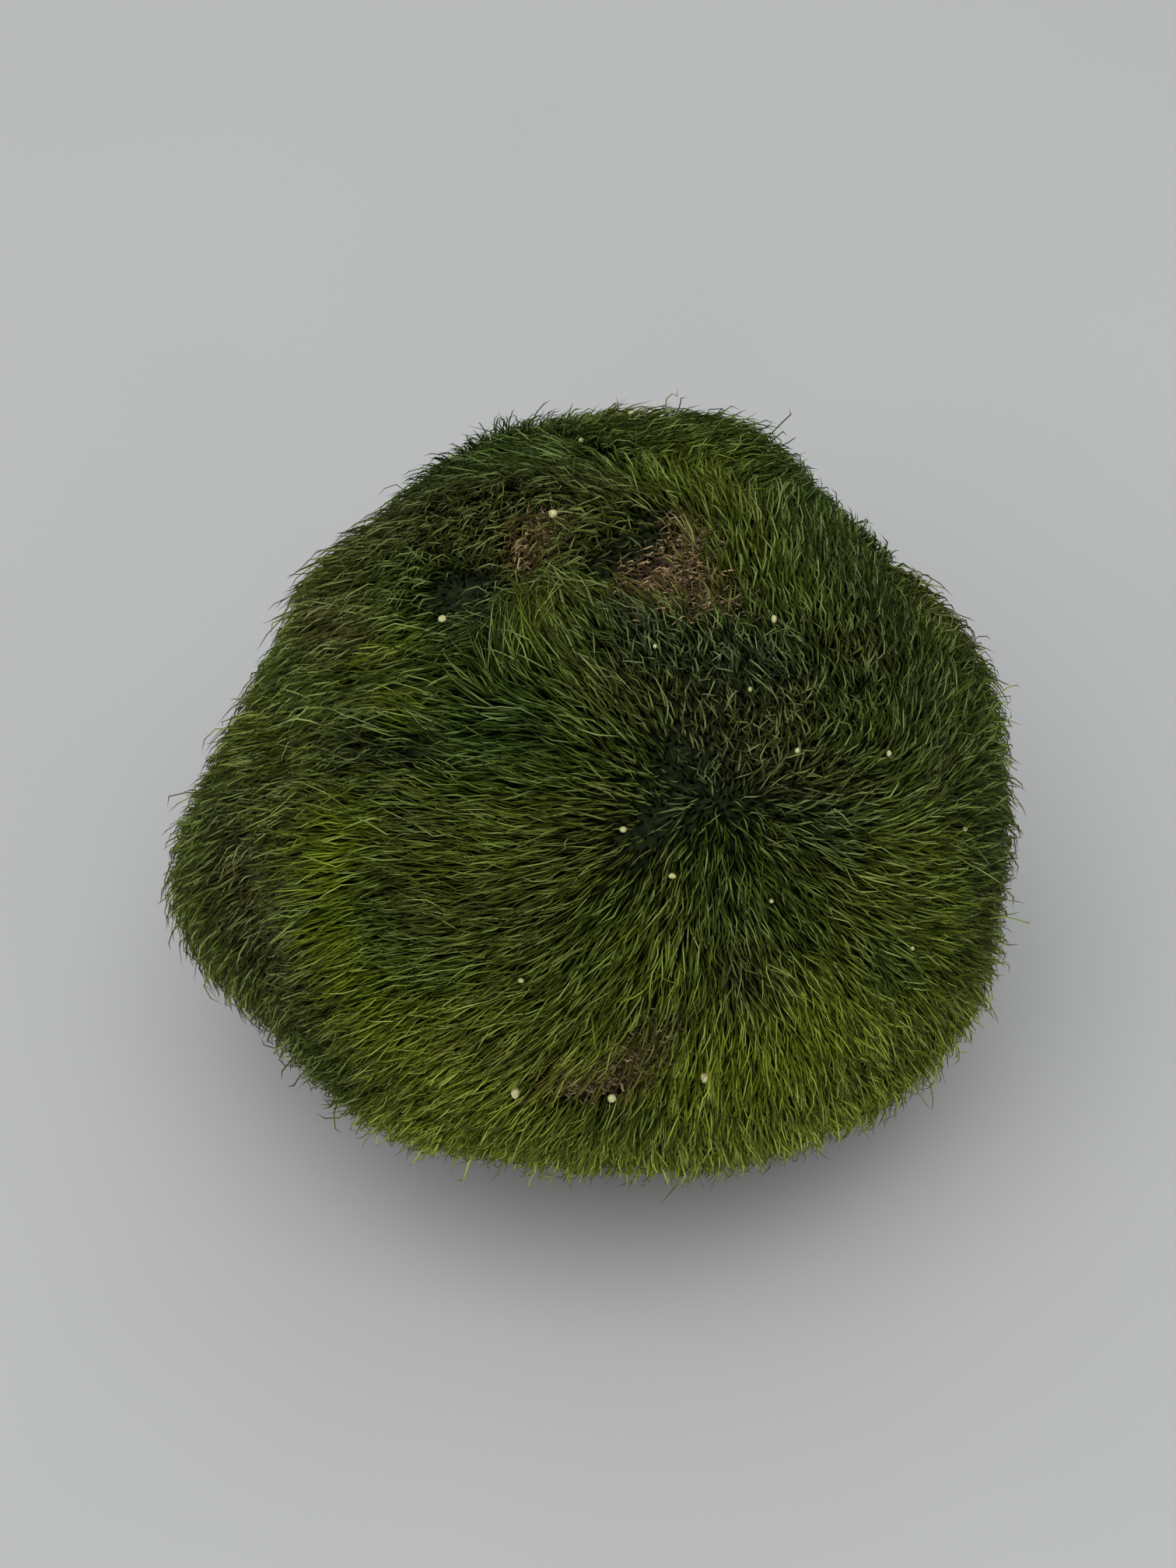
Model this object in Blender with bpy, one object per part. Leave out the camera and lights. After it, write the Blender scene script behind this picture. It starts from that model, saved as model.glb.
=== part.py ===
"""Marimo moss ball at rest: one soft round growth, as the solid that the tips of its filaments reach.

Metres, +Z up, front towards -Y. The origin is on the surface that the ball rests on, under its middle.
The ball grew as one piece, so it is one closed solid. Its shape starts as a fine icosahedron blown up to a
sphere. Broad swells and hollows give it the uneven form of the real ball, short combed locks give its skin
the relief of the moss, and its underside is pressed flat where it rests.
"""

import math
import random
from dataclasses import dataclass

import bmesh
import bpy
import numpy as np
from mathutils import Vector, noise

OBJECT_NAME = "marimo_moss_ball"
BALL_NAME = "moss_ball"

# Driving dimensions of the resting ball
WIDTH = 0.060
DEPTH = 0.057
HEIGHT = 0.0535
FOOT_PRESS = 0.0022  # how much of the round underside is pressed flat
CUT_MERGE = 0.000001  # points this close to the flat foot count as on it

# Fineness of the skin: each of the icosahedron's 20 faces becomes (EDGE_CUTS + 1) ** 2 triangles
EDGE_CUTS = 20

# Fine unevenness between the locks, as shares of the radius
GRAIN_SIZE = 0.16
GRAIN_RISE = 0.007
GRAIN_OFFSET = Vector((3.1, 7.7, 1.9))

# Short locks of moss, laid the way the filaments are combed; lengths as shares of the radius
LOCK_COUNT = 190
LOCK_LENGTH = 0.30
LOCK_WIDTH = 0.095
LOCK_RISE = 0.042
LEDGE_STEEPNESS = 6.0  # a lock's tip falls off this many times faster than its back rises
LOCK_SEED = 11
LOCK_JITTER = 0.5  # share of the spacing between locks

FOOT_EDGE_ANGLE = math.radians(50)  # the skin is shaded smooth, with a crease round the foot

MOSS_COLOUR = (0.042, 0.060, 0.010, 1.0)
MOSS_ROUGHNESS = 0.9


def place(azimuth, elevation):
    """The unit direction at an azimuth from the front towards +X and an elevation, both in degrees."""
    turn, tilt = math.radians(azimuth), math.radians(elevation)
    return Vector((math.sin(turn) * math.cos(tilt), -math.cos(turn) * math.cos(tilt), math.sin(tilt)))


@dataclass(frozen=True)
class Swell:
    """A rise of the ball along the line from start to end, or a hollow where its rise is negative.

    Reach and rise are shares of the ball's radius.
    """

    start: Vector
    end: Vector
    reach: float
    rise: float


def mound(azimuth, elevation, reach, rise):
    """A round swell, or a round hollow where its rise is negative."""
    middle = place(azimuth, elevation)
    return Swell(middle, middle, reach, rise)


def ridge(start, end, reach, rise):
    """A long swell between two places, or a furrow where its rise is negative."""
    return Swell(place(*start), place(*end), reach, rise)


SWELLS = {
    "left lobe": mound(-80, -12, 0.34, 0.110),
    "left crest": ridge((-47, 34), (-40, 6), 0.16, 0.040),
    "furrow behind the left crest": ridge((-63, 34), (-60, 8), 0.15, -0.040),
    "lower left dent": mound(-61, -27, 0.20, -0.095),
    "lower left corner": mound(-42, -37, 0.28, 0.055),
    "upper left flat": ridge((-108, 18), (-130, 34), 0.42, -0.165),
    "upper left corner": mound(-156, 45, 0.24, 0.065),
    "right shoulder": mound(98, 8, 0.32, 0.080),
    "lower right swell": mound(64, -25, 0.60, 0.110),
    "lower right corner": mound(66, -19, 0.24, 0.050),
    "front foot dent": mound(-10, -46, 0.42, -0.080),
    "upper right corner": mound(148, 42, 0.24, 0.075),
    "upper right flat": mound(128, 28, 0.26, -0.025),
    "crown flat": mound(-175, 52, 0.34, -0.030),
    "whorl pit": mound(18, 45, 0.14, -0.050),
    "withered dent": mound(45, 75, 0.15, -0.035),
    "small withered dent": mound(-50, 76, 0.10, -0.020),
    "crest between the whorls": ridge((-28, 66), (-16, 58), 0.10, 0.018),
    "back swell": mound(165, 0, 0.45, 0.050),
    "back hollow": mound(-160, -28, 0.32, -0.040),
    "back left swell": mound(-125, -22, 0.36, 0.040),
    "back whorl pit": mound(-165, 22, 0.14, -0.040),
}

# How strongly the moss droops, against the combing of a whorl one radius away, and a whorl's calm middle
DROOP = 0.15
WHORL_EYE = 0.1

# Where the filaments part and run outwards, with how strongly each place combs the moss round it
WHORLS = (
    (place(18, 45), 1.0),
    (place(-50, 76), 0.25),
    (place(-165, 28), 0.8),
    (place(95, -30), 0.2),
)


def swell_height(direction):
    """How far all the broad swells raise the ball there, as a share of its radius."""
    height = 0.0
    for swell in SWELLS.values():
        run = swell.end - swell.start
        along = 0.0
        if run.length_squared > 0.0:
            along = min(1.0, max(0.0, (direction - swell.start).dot(run) / run.length_squared))
        distance = (direction - swell.start - along * run).length
        height += swell.rise * math.exp(-((distance / swell.reach) ** 2))
    return height


def comb(direction):
    """The unit direction along the skin in which the filaments lie there, away from the whorls."""
    flow = Vector((0.0, 0.0, -DROOP))
    for middle, strength in WHORLS:
        away = direction - middle
        flow += away * (strength / max(away.length_squared, WHORL_EYE**2))
    flow -= direction * flow.dot(direction)
    return flow.normalized()


def lock_frames():
    """The place, comb direction and sideways direction of every lock, spread evenly over the ball."""
    rng = random.Random(LOCK_SEED)
    golden_turn = math.pi * (3.0 - math.sqrt(5.0))
    spacing = math.sqrt(4.0 * math.pi / LOCK_COUNT)
    frames = []
    for number in range(LOCK_COUNT):
        height = 1.0 - (2.0 * number + 1.0) / LOCK_COUNT
        ring = math.sqrt(1.0 - height * height)
        turn = golden_turn * number
        middle = Vector((ring * math.cos(turn), ring * math.sin(turn), height))
        middle += Vector([rng.uniform(-1.0, 1.0) for _ in range(3)]) * (spacing * LOCK_JITTER)
        middle.normalize()
        lie = comb(middle)
        frames.append((middle, lie, middle.cross(lie)))
    return frames


def lock_heights(directions):
    """How far the locks raise each direction: a lock rises slowly along its lie and ends in a ledge."""
    tallest = np.zeros(len(directions))
    for middle, lie, side in lock_frames():
        offset = directions - np.array(middle)
        along = offset @ np.array(lie) / LOCK_LENGTH
        across = offset @ np.array(side) / LOCK_WIDTH
        ramp = np.clip(0.5 + along, 0.0, 1.0)
        ledge = np.clip((0.5 - along) * LEDGE_STEEPNESS, 0.0, 1.0)
        near_side = directions @ np.array(middle) > 0.0
        tallest = np.maximum(tallest, LOCK_RISE * ramp * ledge * np.exp(-(across**2)) * near_side)
    return tallest


def blow_up(mesh):
    """Moves the icosahedron's points out to the uneven, combed skin of the ball."""
    directions = [vert.co.normalized() for vert in mesh.verts]
    locks = lock_heights(np.array(directions))
    for vert, direction, lock in zip(mesh.verts, directions, locks):
        grain = GRAIN_RISE * noise.noise(direction / GRAIN_SIZE + GRAIN_OFFSET)
        vert.co = direction * (1.0 + swell_height(direction) + grain + lock)


def fit_to_size(mesh):
    """Scales and places the blown-up ball so that it measures its driving dimensions once it is pressed."""
    points = np.array([vert.co for vert in mesh.verts])
    low, high = points.min(axis=0), points.max(axis=0)
    scale = Vector(np.array((WIDTH, DEPTH, HEIGHT + FOOT_PRESS)) / (high - low))
    middle = Vector(((low[0] + high[0]) / 2.0, (low[1] + high[1]) / 2.0, low[2]))
    for vert in mesh.verts:
        vert.co = (vert.co - middle) * scale - Vector((0.0, 0.0, FOOT_PRESS))


def press_foot(mesh):
    """Cuts the round underside off level with the surface and closes the cut with one flat face."""
    everything = mesh.verts[:] + mesh.edges[:] + mesh.faces[:]
    surface, down = (0.0, 0.0, 0.0), (0.0, 0.0, -1.0)
    cut = bmesh.ops.bisect_plane(
        mesh, geom=everything, dist=CUT_MERGE, plane_co=surface, plane_no=down, clear_outer=True
    )
    rim = [item for item in cut["geom_cut"] if isinstance(item, bmesh.types.BMEdge)]
    bmesh.ops.holes_fill(mesh, edges=rim, sides=0)


def moss_material():
    """The plain green of the moss."""
    material = bpy.data.materials.new("moss")
    material.use_nodes = True
    shader = material.node_tree.nodes["Principled BSDF"]
    shader.inputs["Base Color"].default_value = MOSS_COLOUR
    shader.inputs["Roughness"].default_value = MOSS_ROUGHNESS
    shader.inputs["Metallic"].default_value = 0.0
    return material


def make_ball(collection):
    """The ball as one closed solid, in its collection."""
    mesh = bmesh.new()
    bmesh.ops.create_icosphere(mesh, subdivisions=1, radius=1.0)
    bmesh.ops.subdivide_edges(mesh, edges=mesh.edges[:], cuts=EDGE_CUTS, use_grid_fill=True)
    blow_up(mesh)
    fit_to_size(mesh)
    press_foot(mesh)
    bmesh.ops.recalc_face_normals(mesh, faces=mesh.faces[:])
    data = bpy.data.meshes.new(BALL_NAME)
    mesh.to_mesh(data)
    mesh.free()
    data.shade_smooth()
    data.set_sharp_from_angle(angle=FOOT_EDGE_ANGLE)
    data.materials.append(moss_material())
    ball = bpy.data.objects.new(BALL_NAME, data)
    collection.objects.link(ball)
    return ball


def main():
    for old in list(bpy.data.objects):
        bpy.data.objects.remove(old, do_unlink=True)
    collection = bpy.data.collections.new(OBJECT_NAME)
    bpy.context.scene.collection.children.link(collection)
    make_ball(collection)


main()
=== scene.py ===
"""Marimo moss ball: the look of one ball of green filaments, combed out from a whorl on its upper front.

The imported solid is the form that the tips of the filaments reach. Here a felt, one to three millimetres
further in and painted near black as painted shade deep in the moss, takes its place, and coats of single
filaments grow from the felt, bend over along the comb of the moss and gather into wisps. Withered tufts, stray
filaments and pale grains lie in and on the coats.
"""

import logging
import math
import random
from collections.abc import Iterator
from dataclasses import dataclass, field
from enum import IntEnum
from typing import Any

import bmesh
import bpy
import numpy as np
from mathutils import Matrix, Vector, noise
from mathutils.bvhtree import BVHTree


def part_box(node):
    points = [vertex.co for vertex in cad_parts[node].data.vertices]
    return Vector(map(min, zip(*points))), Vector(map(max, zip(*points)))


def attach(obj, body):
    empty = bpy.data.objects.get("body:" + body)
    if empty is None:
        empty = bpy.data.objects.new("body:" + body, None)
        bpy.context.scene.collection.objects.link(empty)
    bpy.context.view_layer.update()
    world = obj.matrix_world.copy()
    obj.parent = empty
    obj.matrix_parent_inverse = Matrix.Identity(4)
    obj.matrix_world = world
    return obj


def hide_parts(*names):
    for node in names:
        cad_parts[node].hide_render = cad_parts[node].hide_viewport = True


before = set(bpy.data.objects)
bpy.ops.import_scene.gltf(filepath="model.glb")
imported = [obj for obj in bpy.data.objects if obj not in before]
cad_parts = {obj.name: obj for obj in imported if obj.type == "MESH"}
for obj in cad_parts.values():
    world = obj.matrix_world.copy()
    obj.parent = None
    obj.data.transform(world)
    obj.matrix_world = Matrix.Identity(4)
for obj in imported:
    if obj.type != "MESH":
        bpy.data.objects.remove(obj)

logger = logging.getLogger("moss_ball")

MM = 0.001
TINY = 1e-9  # keeps a division from failing where a length is nought
BODY = "root"
NODE = "moss_ball"
BAKE_MAP = "OFBake"

Colour = tuple[float, float, float]
Setting = dict[str, Any]


class Wire:
    """A socket of a node tree. Arithmetic on it adds Math nodes, or Vector Math nodes for a vector."""

    def __init__(self, tree: "Tree", socket: bpy.types.NodeSocket) -> None:
        """Wraps one output socket of a tree, which new nodes go into."""
        self.tree = tree
        self.socket = socket

    @property
    def is_vector(self) -> bool:
        """True where the socket holds a vector or a colour."""
        return self.socket.type in ("VECTOR", "RGBA")

    def _join(self, operation: str, first: Any, second: Any) -> "Wire":
        """One Math or Vector Math node on two values or wires.

        Args:
            operation: The node's operation.
            first: The first value or wire.
            second: The second value or wire.

        Returns:
            The node's result.
        """
        vector = [isinstance(part, Wire) and part.is_vector or isinstance(part, (tuple, Vector))
                  for part in (first, second)]
        if operation == "MULTIPLY" and vector == [True, False]:
            return self.tree.wire("ShaderNodeVectorMath", {"operation": "SCALE"}, {0: first, "Scale": second})
        kind = "ShaderNodeVectorMath" if any(vector) else "ShaderNodeMath"
        return self.tree.wire(kind, {"operation": operation}, {0: first, 1: second})

    def __add__(self, other: Any) -> "Wire":
        """Sum."""
        return self._join("ADD", self, other)

    def __radd__(self, other: Any) -> "Wire":
        """Sum, reflected."""
        return self + other

    def __sub__(self, other: Any) -> "Wire":
        """Difference."""
        return self._join("SUBTRACT", self, other)

    def __rsub__(self, other: Any) -> "Wire":
        """Difference, reflected."""
        return self._join("SUBTRACT", other, self)

    def __mul__(self, other: Any) -> "Wire":
        """Product, which scales a vector by a number."""
        return self._join("MULTIPLY", self, other)

    def __rmul__(self, other: Any) -> "Wire":
        """Product, reflected."""
        return self * other

    def __truediv__(self, other: Any) -> "Wire":
        """Quotient."""
        return self._join("DIVIDE", self, other)

    def __rtruediv__(self, other: Any) -> "Wire":
        """Quotient, reflected."""
        return self._join("DIVIDE", other, self)

    def __pow__(self, other: Any) -> "Wire":
        """Power."""
        return self._join("POWER", self, other)

    def __rpow__(self, other: Any) -> "Wire":
        """Power, reflected."""
        return self._join("POWER", other, self)

    def at_least(self, low: Any) -> "Wire":
        """The larger of this and a value or wire."""
        return self._join("MAXIMUM", self, low)

    def at_most(self, high: Any) -> "Wire":
        """The smaller of this and a value or wire."""
        return self._join("MINIMUM", self, high)

    def sine(self) -> "Wire":
        """Sine of an angle in radians."""
        return self.tree.wire("ShaderNodeMath", {"operation": "SINE"}, {0: self})

    def cosine(self) -> "Wire":
        """Cosine of an angle in radians."""
        return self.tree.wire("ShaderNodeMath", {"operation": "COSINE"}, {0: self})

    def unit(self) -> "Wire":
        """The vector scaled to length one."""
        return self.tree.wire("ShaderNodeVectorMath", {"operation": "NORMALIZE"}, {0: self})

    def dot(self, other: Any) -> "Wire":
        """Dot product of two vectors."""
        settings = {"operation": "DOT_PRODUCT"}
        return self.tree.wire("ShaderNodeVectorMath", settings, {0: self, 1: other}, "Value")

    def cross(self, other: Any) -> "Wire":
        """Cross product of two vectors."""
        return self.tree.wire("ShaderNodeVectorMath", {"operation": "CROSS_PRODUCT"}, {0: self, 1: other})

    def ease(self, low: float, high: float) -> "Wire":
        """A smooth step from 0 at low to 1 at high."""
        values = {"Value": self, "From Min": low, "From Max": high}
        return self.tree.wire("ShaderNodeMapRange", {"interpolation_type": "SMOOTHSTEP"}, values)

    def axis(self, name: str) -> "Wire":
        """One of a vector's parts, X, Y or Z."""
        return self.tree.wire("ShaderNodeSeparateXYZ", {}, {0: self}, name)


class Tree:
    """A node tree under construction, for shaders and for Geometry Nodes alike."""

    def __init__(self, nodes: bpy.types.NodeTree) -> None:
        """Wraps a node tree."""
        self.nodes = nodes

    def node(self, kind: str, settings: Setting | None = None, values: dict | None = None) -> bpy.types.Node:
        """Adds one node.

        Args:
            kind: The node's type.
            settings: Its properties, which are set first.
            values: Values or wires by socket name or number.

        Returns:
            The new node.
        """
        node = self.nodes.nodes.new(kind)
        for name, setting in (settings or {}).items():
            setattr(node, name, setting)
        self.fill(node, values or {})
        return node

    def fill(self, node: bpy.types.Node, values: dict) -> None:
        """Gives a node's inputs what they get.

        Args:
            node: The node.
            values: Values or wires by socket name or number.
        """
        for key, value in values.items():
            socket = self.socket(node.inputs, key)
            if isinstance(value, Wire):
                self.nodes.links.new(value.socket, socket)
            else:
                socket.default_value = value

    def wire(self, kind: str, settings: Setting | None = None, values: dict | None = None,
             output: str | int = 0) -> Wire:
        """Adds one node, as node does, and returns the wire of its output of this name or number."""
        node = self.node(kind, settings, values)
        return Wire(self, self.socket(node.outputs, output))

    @staticmethod
    def socket(sockets: Any, key: str | int) -> bpy.types.NodeSocket:
        """The socket with this name or number among those that the node's settings leave in use."""
        used = [socket for socket in sockets if socket.enabled]
        return used[key] if isinstance(key, int) else next(socket for socket in used if socket.name == key)

    def mix(self, factor: Any, first: Any, second: Any) -> Wire:
        """The mix of two colours or wires, where the factor is the share of the second."""
        first, second = ((*part, 1.0) if isinstance(part, tuple) else part for part in (first, second))
        return self.wire("ShaderNodeMix", {"data_type": "RGBA"}, {"Factor": factor, "A": first, "B": second})

    def attribute(self, name: str, output: str = "Fac") -> Wire:
        """A shader's wire of one of the mesh's attributes."""
        return self.wire("ShaderNodeAttribute", {"attribute_name": name}, {}, output)

    def noise(self, at: Wire, size: float, detail: float = 2.0, shift: Colour = (0.0, 0.0, 0.0)) -> Wire:
        """Smooth noise, about 0 to 1, with patches of a size in metres. A shift moves its pattern."""
        values = {"Vector": at + shift, "Scale": 1.0 / size, "Detail": detail}
        return self.wire("ShaderNodeTexNoise", {"noise_dimensions": "3D"}, values, "Fac")


def direction(azimuth: float, elevation: float) -> Vector:
    """The unit direction at an azimuth from the front towards +X and an elevation.

    Args:
        azimuth: Degrees from the front towards +X.
        elevation: Degrees above the horizon.

    Returns:
        The direction.
    """
    turn, tilt = math.radians(azimuth), math.radians(elevation)
    return Vector((math.sin(turn) * math.cos(tilt), -math.cos(turn) * math.cos(tilt), math.sin(tilt)))


def added(name: str, data: bpy.types.ID) -> bpy.types.Object:
    """Adds an object to the scene.

    Args:
        name: Its name.
        data: Its mesh, lamp or camera.

    Returns:
        The object.
    """
    thing = bpy.data.objects.new(name, data)
    bpy.context.scene.collection.objects.link(thing)
    return thing


def mesh_from(shape: bmesh.types.BMesh, name: str) -> bpy.types.Mesh:
    """Makes a mesh of a shape, which is freed.

    Args:
        shape: The shape.
        name: The mesh's name.

    Returns:
        The mesh.
    """
    mesh = bpy.data.meshes.new(name)
    shape.to_mesh(mesh)
    shape.free()
    return mesh


@dataclass(frozen=True)
class Viewpoint:
    """Where the ball is seen from: the photograph's viewing angle and distance, closed in on one ball."""

    aim: Vector = Vector((0.0, 0.0, 26.5 * MM))
    elevation: float = 46.0
    distance: float = 330 * MM
    frame_width: float = 84 * MM  # how much the frame shows, at the ball's distance
    sensor: float = 36.0
    raise_aim: float = 0.5 * MM

    @property
    def towards(self) -> Vector:
        """From the ball to the camera."""
        return direction(0.0, self.elevation)

    @property
    def eye(self) -> Vector:
        """The camera's place."""
        return self.aim + self.towards * self.distance

    @property
    def up(self) -> Vector:
        """The picture's upward direction."""
        return self.towards.cross(Vector((1.0, 0.0, 0.0)))

    def seen(self, skin: BVHTree, right: float, up: float) -> Vector:
        """The place on the skin that shows so far right of and above the ball's middle.

        Args:
            skin: The skin to hit.
            right: Millimetres to the right in the picture.
            up: Millimetres up in the picture.

        Returns:
            The place on the skin.
        """
        target = self.aim + Vector((1.0, 0.0, 0.0)) * right * MM + self.up * up * MM
        hit = skin.ray_cast(self.eye, (target - self.eye).normalized())[0]
        return hit if hit is not None else skin.find_nearest(target)[0]

    def place_camera(self) -> None:
        """Adds the camera and makes it the scene's."""
        data = bpy.data.cameras.new("camera")
        data.sensor_fit = "HORIZONTAL"
        data.sensor_width = self.sensor
        data.lens = self.sensor * self.distance / self.frame_width
        camera = added("camera", data)
        camera.location = self.eye + self.up * self.raise_aim
        camera.rotation_euler = (-self.towards).to_track_quat("-Z", "Y").to_euler()
        bpy.context.scene.camera = camera


VIEW = Viewpoint()


@dataclass(frozen=True)
class Spot:
    """A round or long region of the skin, from one place to another, that fades out over its reach."""

    start: Vector
    end: Vector
    reach: float

    def share(self, points: np.ndarray) -> np.ndarray:
        """How much each point belongs to the spot.

        Args:
            points: The points, one a row.

        Returns:
            A share from 0 to 1 for each.
        """
        run = np.array(self.end - self.start)
        offset = points - np.array(self.start)
        along = np.clip(offset @ run / max(run @ run, TINY), 0.0, 1.0)
        distance = np.linalg.norm(offset - along[:, None] * run, axis=1)
        return np.exp(-((distance / self.reach) ** 2))


class Skin:
    """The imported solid's surface, which the tips reach, and what is found on it."""

    LEAN = 68.0  # degrees from the skin's normal at which a filament leans, halfway along
    MERGING = 1e-7  # corners nearer than this, in metres, are one

    def __init__(self) -> None:
        """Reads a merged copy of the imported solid."""
        merged = bmesh.new()
        merged.from_mesh(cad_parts[NODE].data)
        bmesh.ops.remove_doubles(merged, verts=merged.verts[:], dist=self.MERGING)
        merged.normal_update()
        self.tree = BVHTree.FromBMesh(merged)
        self.mesh = mesh_from(merged, "skin")
        low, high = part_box(NODE)
        self.middle = (low + high) / 2.0
        self.radius = (high - low).x / 2.0

    def seen(self, right: float, up: float) -> Vector:
        """The place that shows so many millimetres right of and above the ball's middle."""
        return VIEW.seen(self.tree, right, up)

    def at(self, azimuth: float, elevation: float) -> Vector:
        """The place in a direction from the ball's middle."""
        return self.tree.ray_cast(self.middle, direction(azimuth, elevation))[0]

    def spot_seen(self, right: float, up: float, reach: float) -> Spot:
        """A round spot by where it shows, with its reach in millimetres."""
        place = self.seen(right, up)
        return Spot(place, place, reach * MM)

    def band_seen(self, start: tuple[float, float], end: tuple[float, float], reach: float) -> Spot:
        """A long spot between two places by where they show, with its reach in millimetres."""
        return Spot(self.seen(*start), self.seen(*end), reach * MM)

    def spot_at(self, azimuth: float, elevation: float, reach: float) -> Spot:
        """A round spot in a direction from the middle, with its reach in millimetres."""
        place = self.at(azimuth, elevation)
        return Spot(place, place, reach * MM)

    def heading(self, place: Vector, angle: float) -> Vector:
        """The direction along the skin of a leaning filament that shows at an angle in the picture.

        Args:
            place: The filament's place on the skin.
            angle: Degrees from the picture's right towards its up.

        Returns:
            The unit direction.
        """
        turn = math.radians(angle)
        way = Vector((1.0, 0.0, 0.0)) * math.cos(turn) + VIEW.up * math.sin(turn)
        across = VIEW.towards.cross(way)
        normal = (place - self.middle).normalized()
        along = (way - normal * way.dot(normal)).normalized()
        side = normal.cross(along)
        lifted = -normal.dot(across) / math.tan(math.radians(self.LEAN))
        share = along.dot(across), side.dot(across)
        middle = math.atan2(share[1], share[0])
        spread = math.acos(max(-1.0, min(1.0, lifted / max(math.hypot(*share), TINY))))
        turns = (middle - spread, middle + spread)
        return max((along * math.cos(turn) + side * math.sin(turn) for turn in turns), key=way.dot)


SKIN = Skin()


@dataclass(frozen=True)
class Patch:
    """Spots of the skin where the moss differs, each with its strength."""

    spots: tuple[tuple[Spot, float], ...]

    def share(self, points: np.ndarray) -> np.ndarray:
        """How much of the patch each point has, from 0 to 1."""
        return np.clip(sum(strength * spot.share(points) for spot, strength in self.spots), 0.0, 1.0)


def patch(seen: tuple[tuple[float, ...], ...], hidden: tuple[tuple[float, ...], ...] = ()) -> Patch:
    """A patch from bands where it shows in the picture, and round spots on the sides that don't show.

    Args:
        seen: Bands, each as millimetres right and up of the ball's middle where it starts, the same where
            it ends, its reach in millimetres and its strength from 0 to 1.
        hidden: Spots, each as azimuth and elevation in degrees, reach in millimetres and strength.

    Returns:
        The patch.
    """
    bands = [(SKIN.band_seen(band[0:2], band[2:4], band[4]), band[5]) for band in seen]
    return Patch((*bands, *((SKIN.spot_at(*spot[0:3]), spot[3]) for spot in hidden)))


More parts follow.
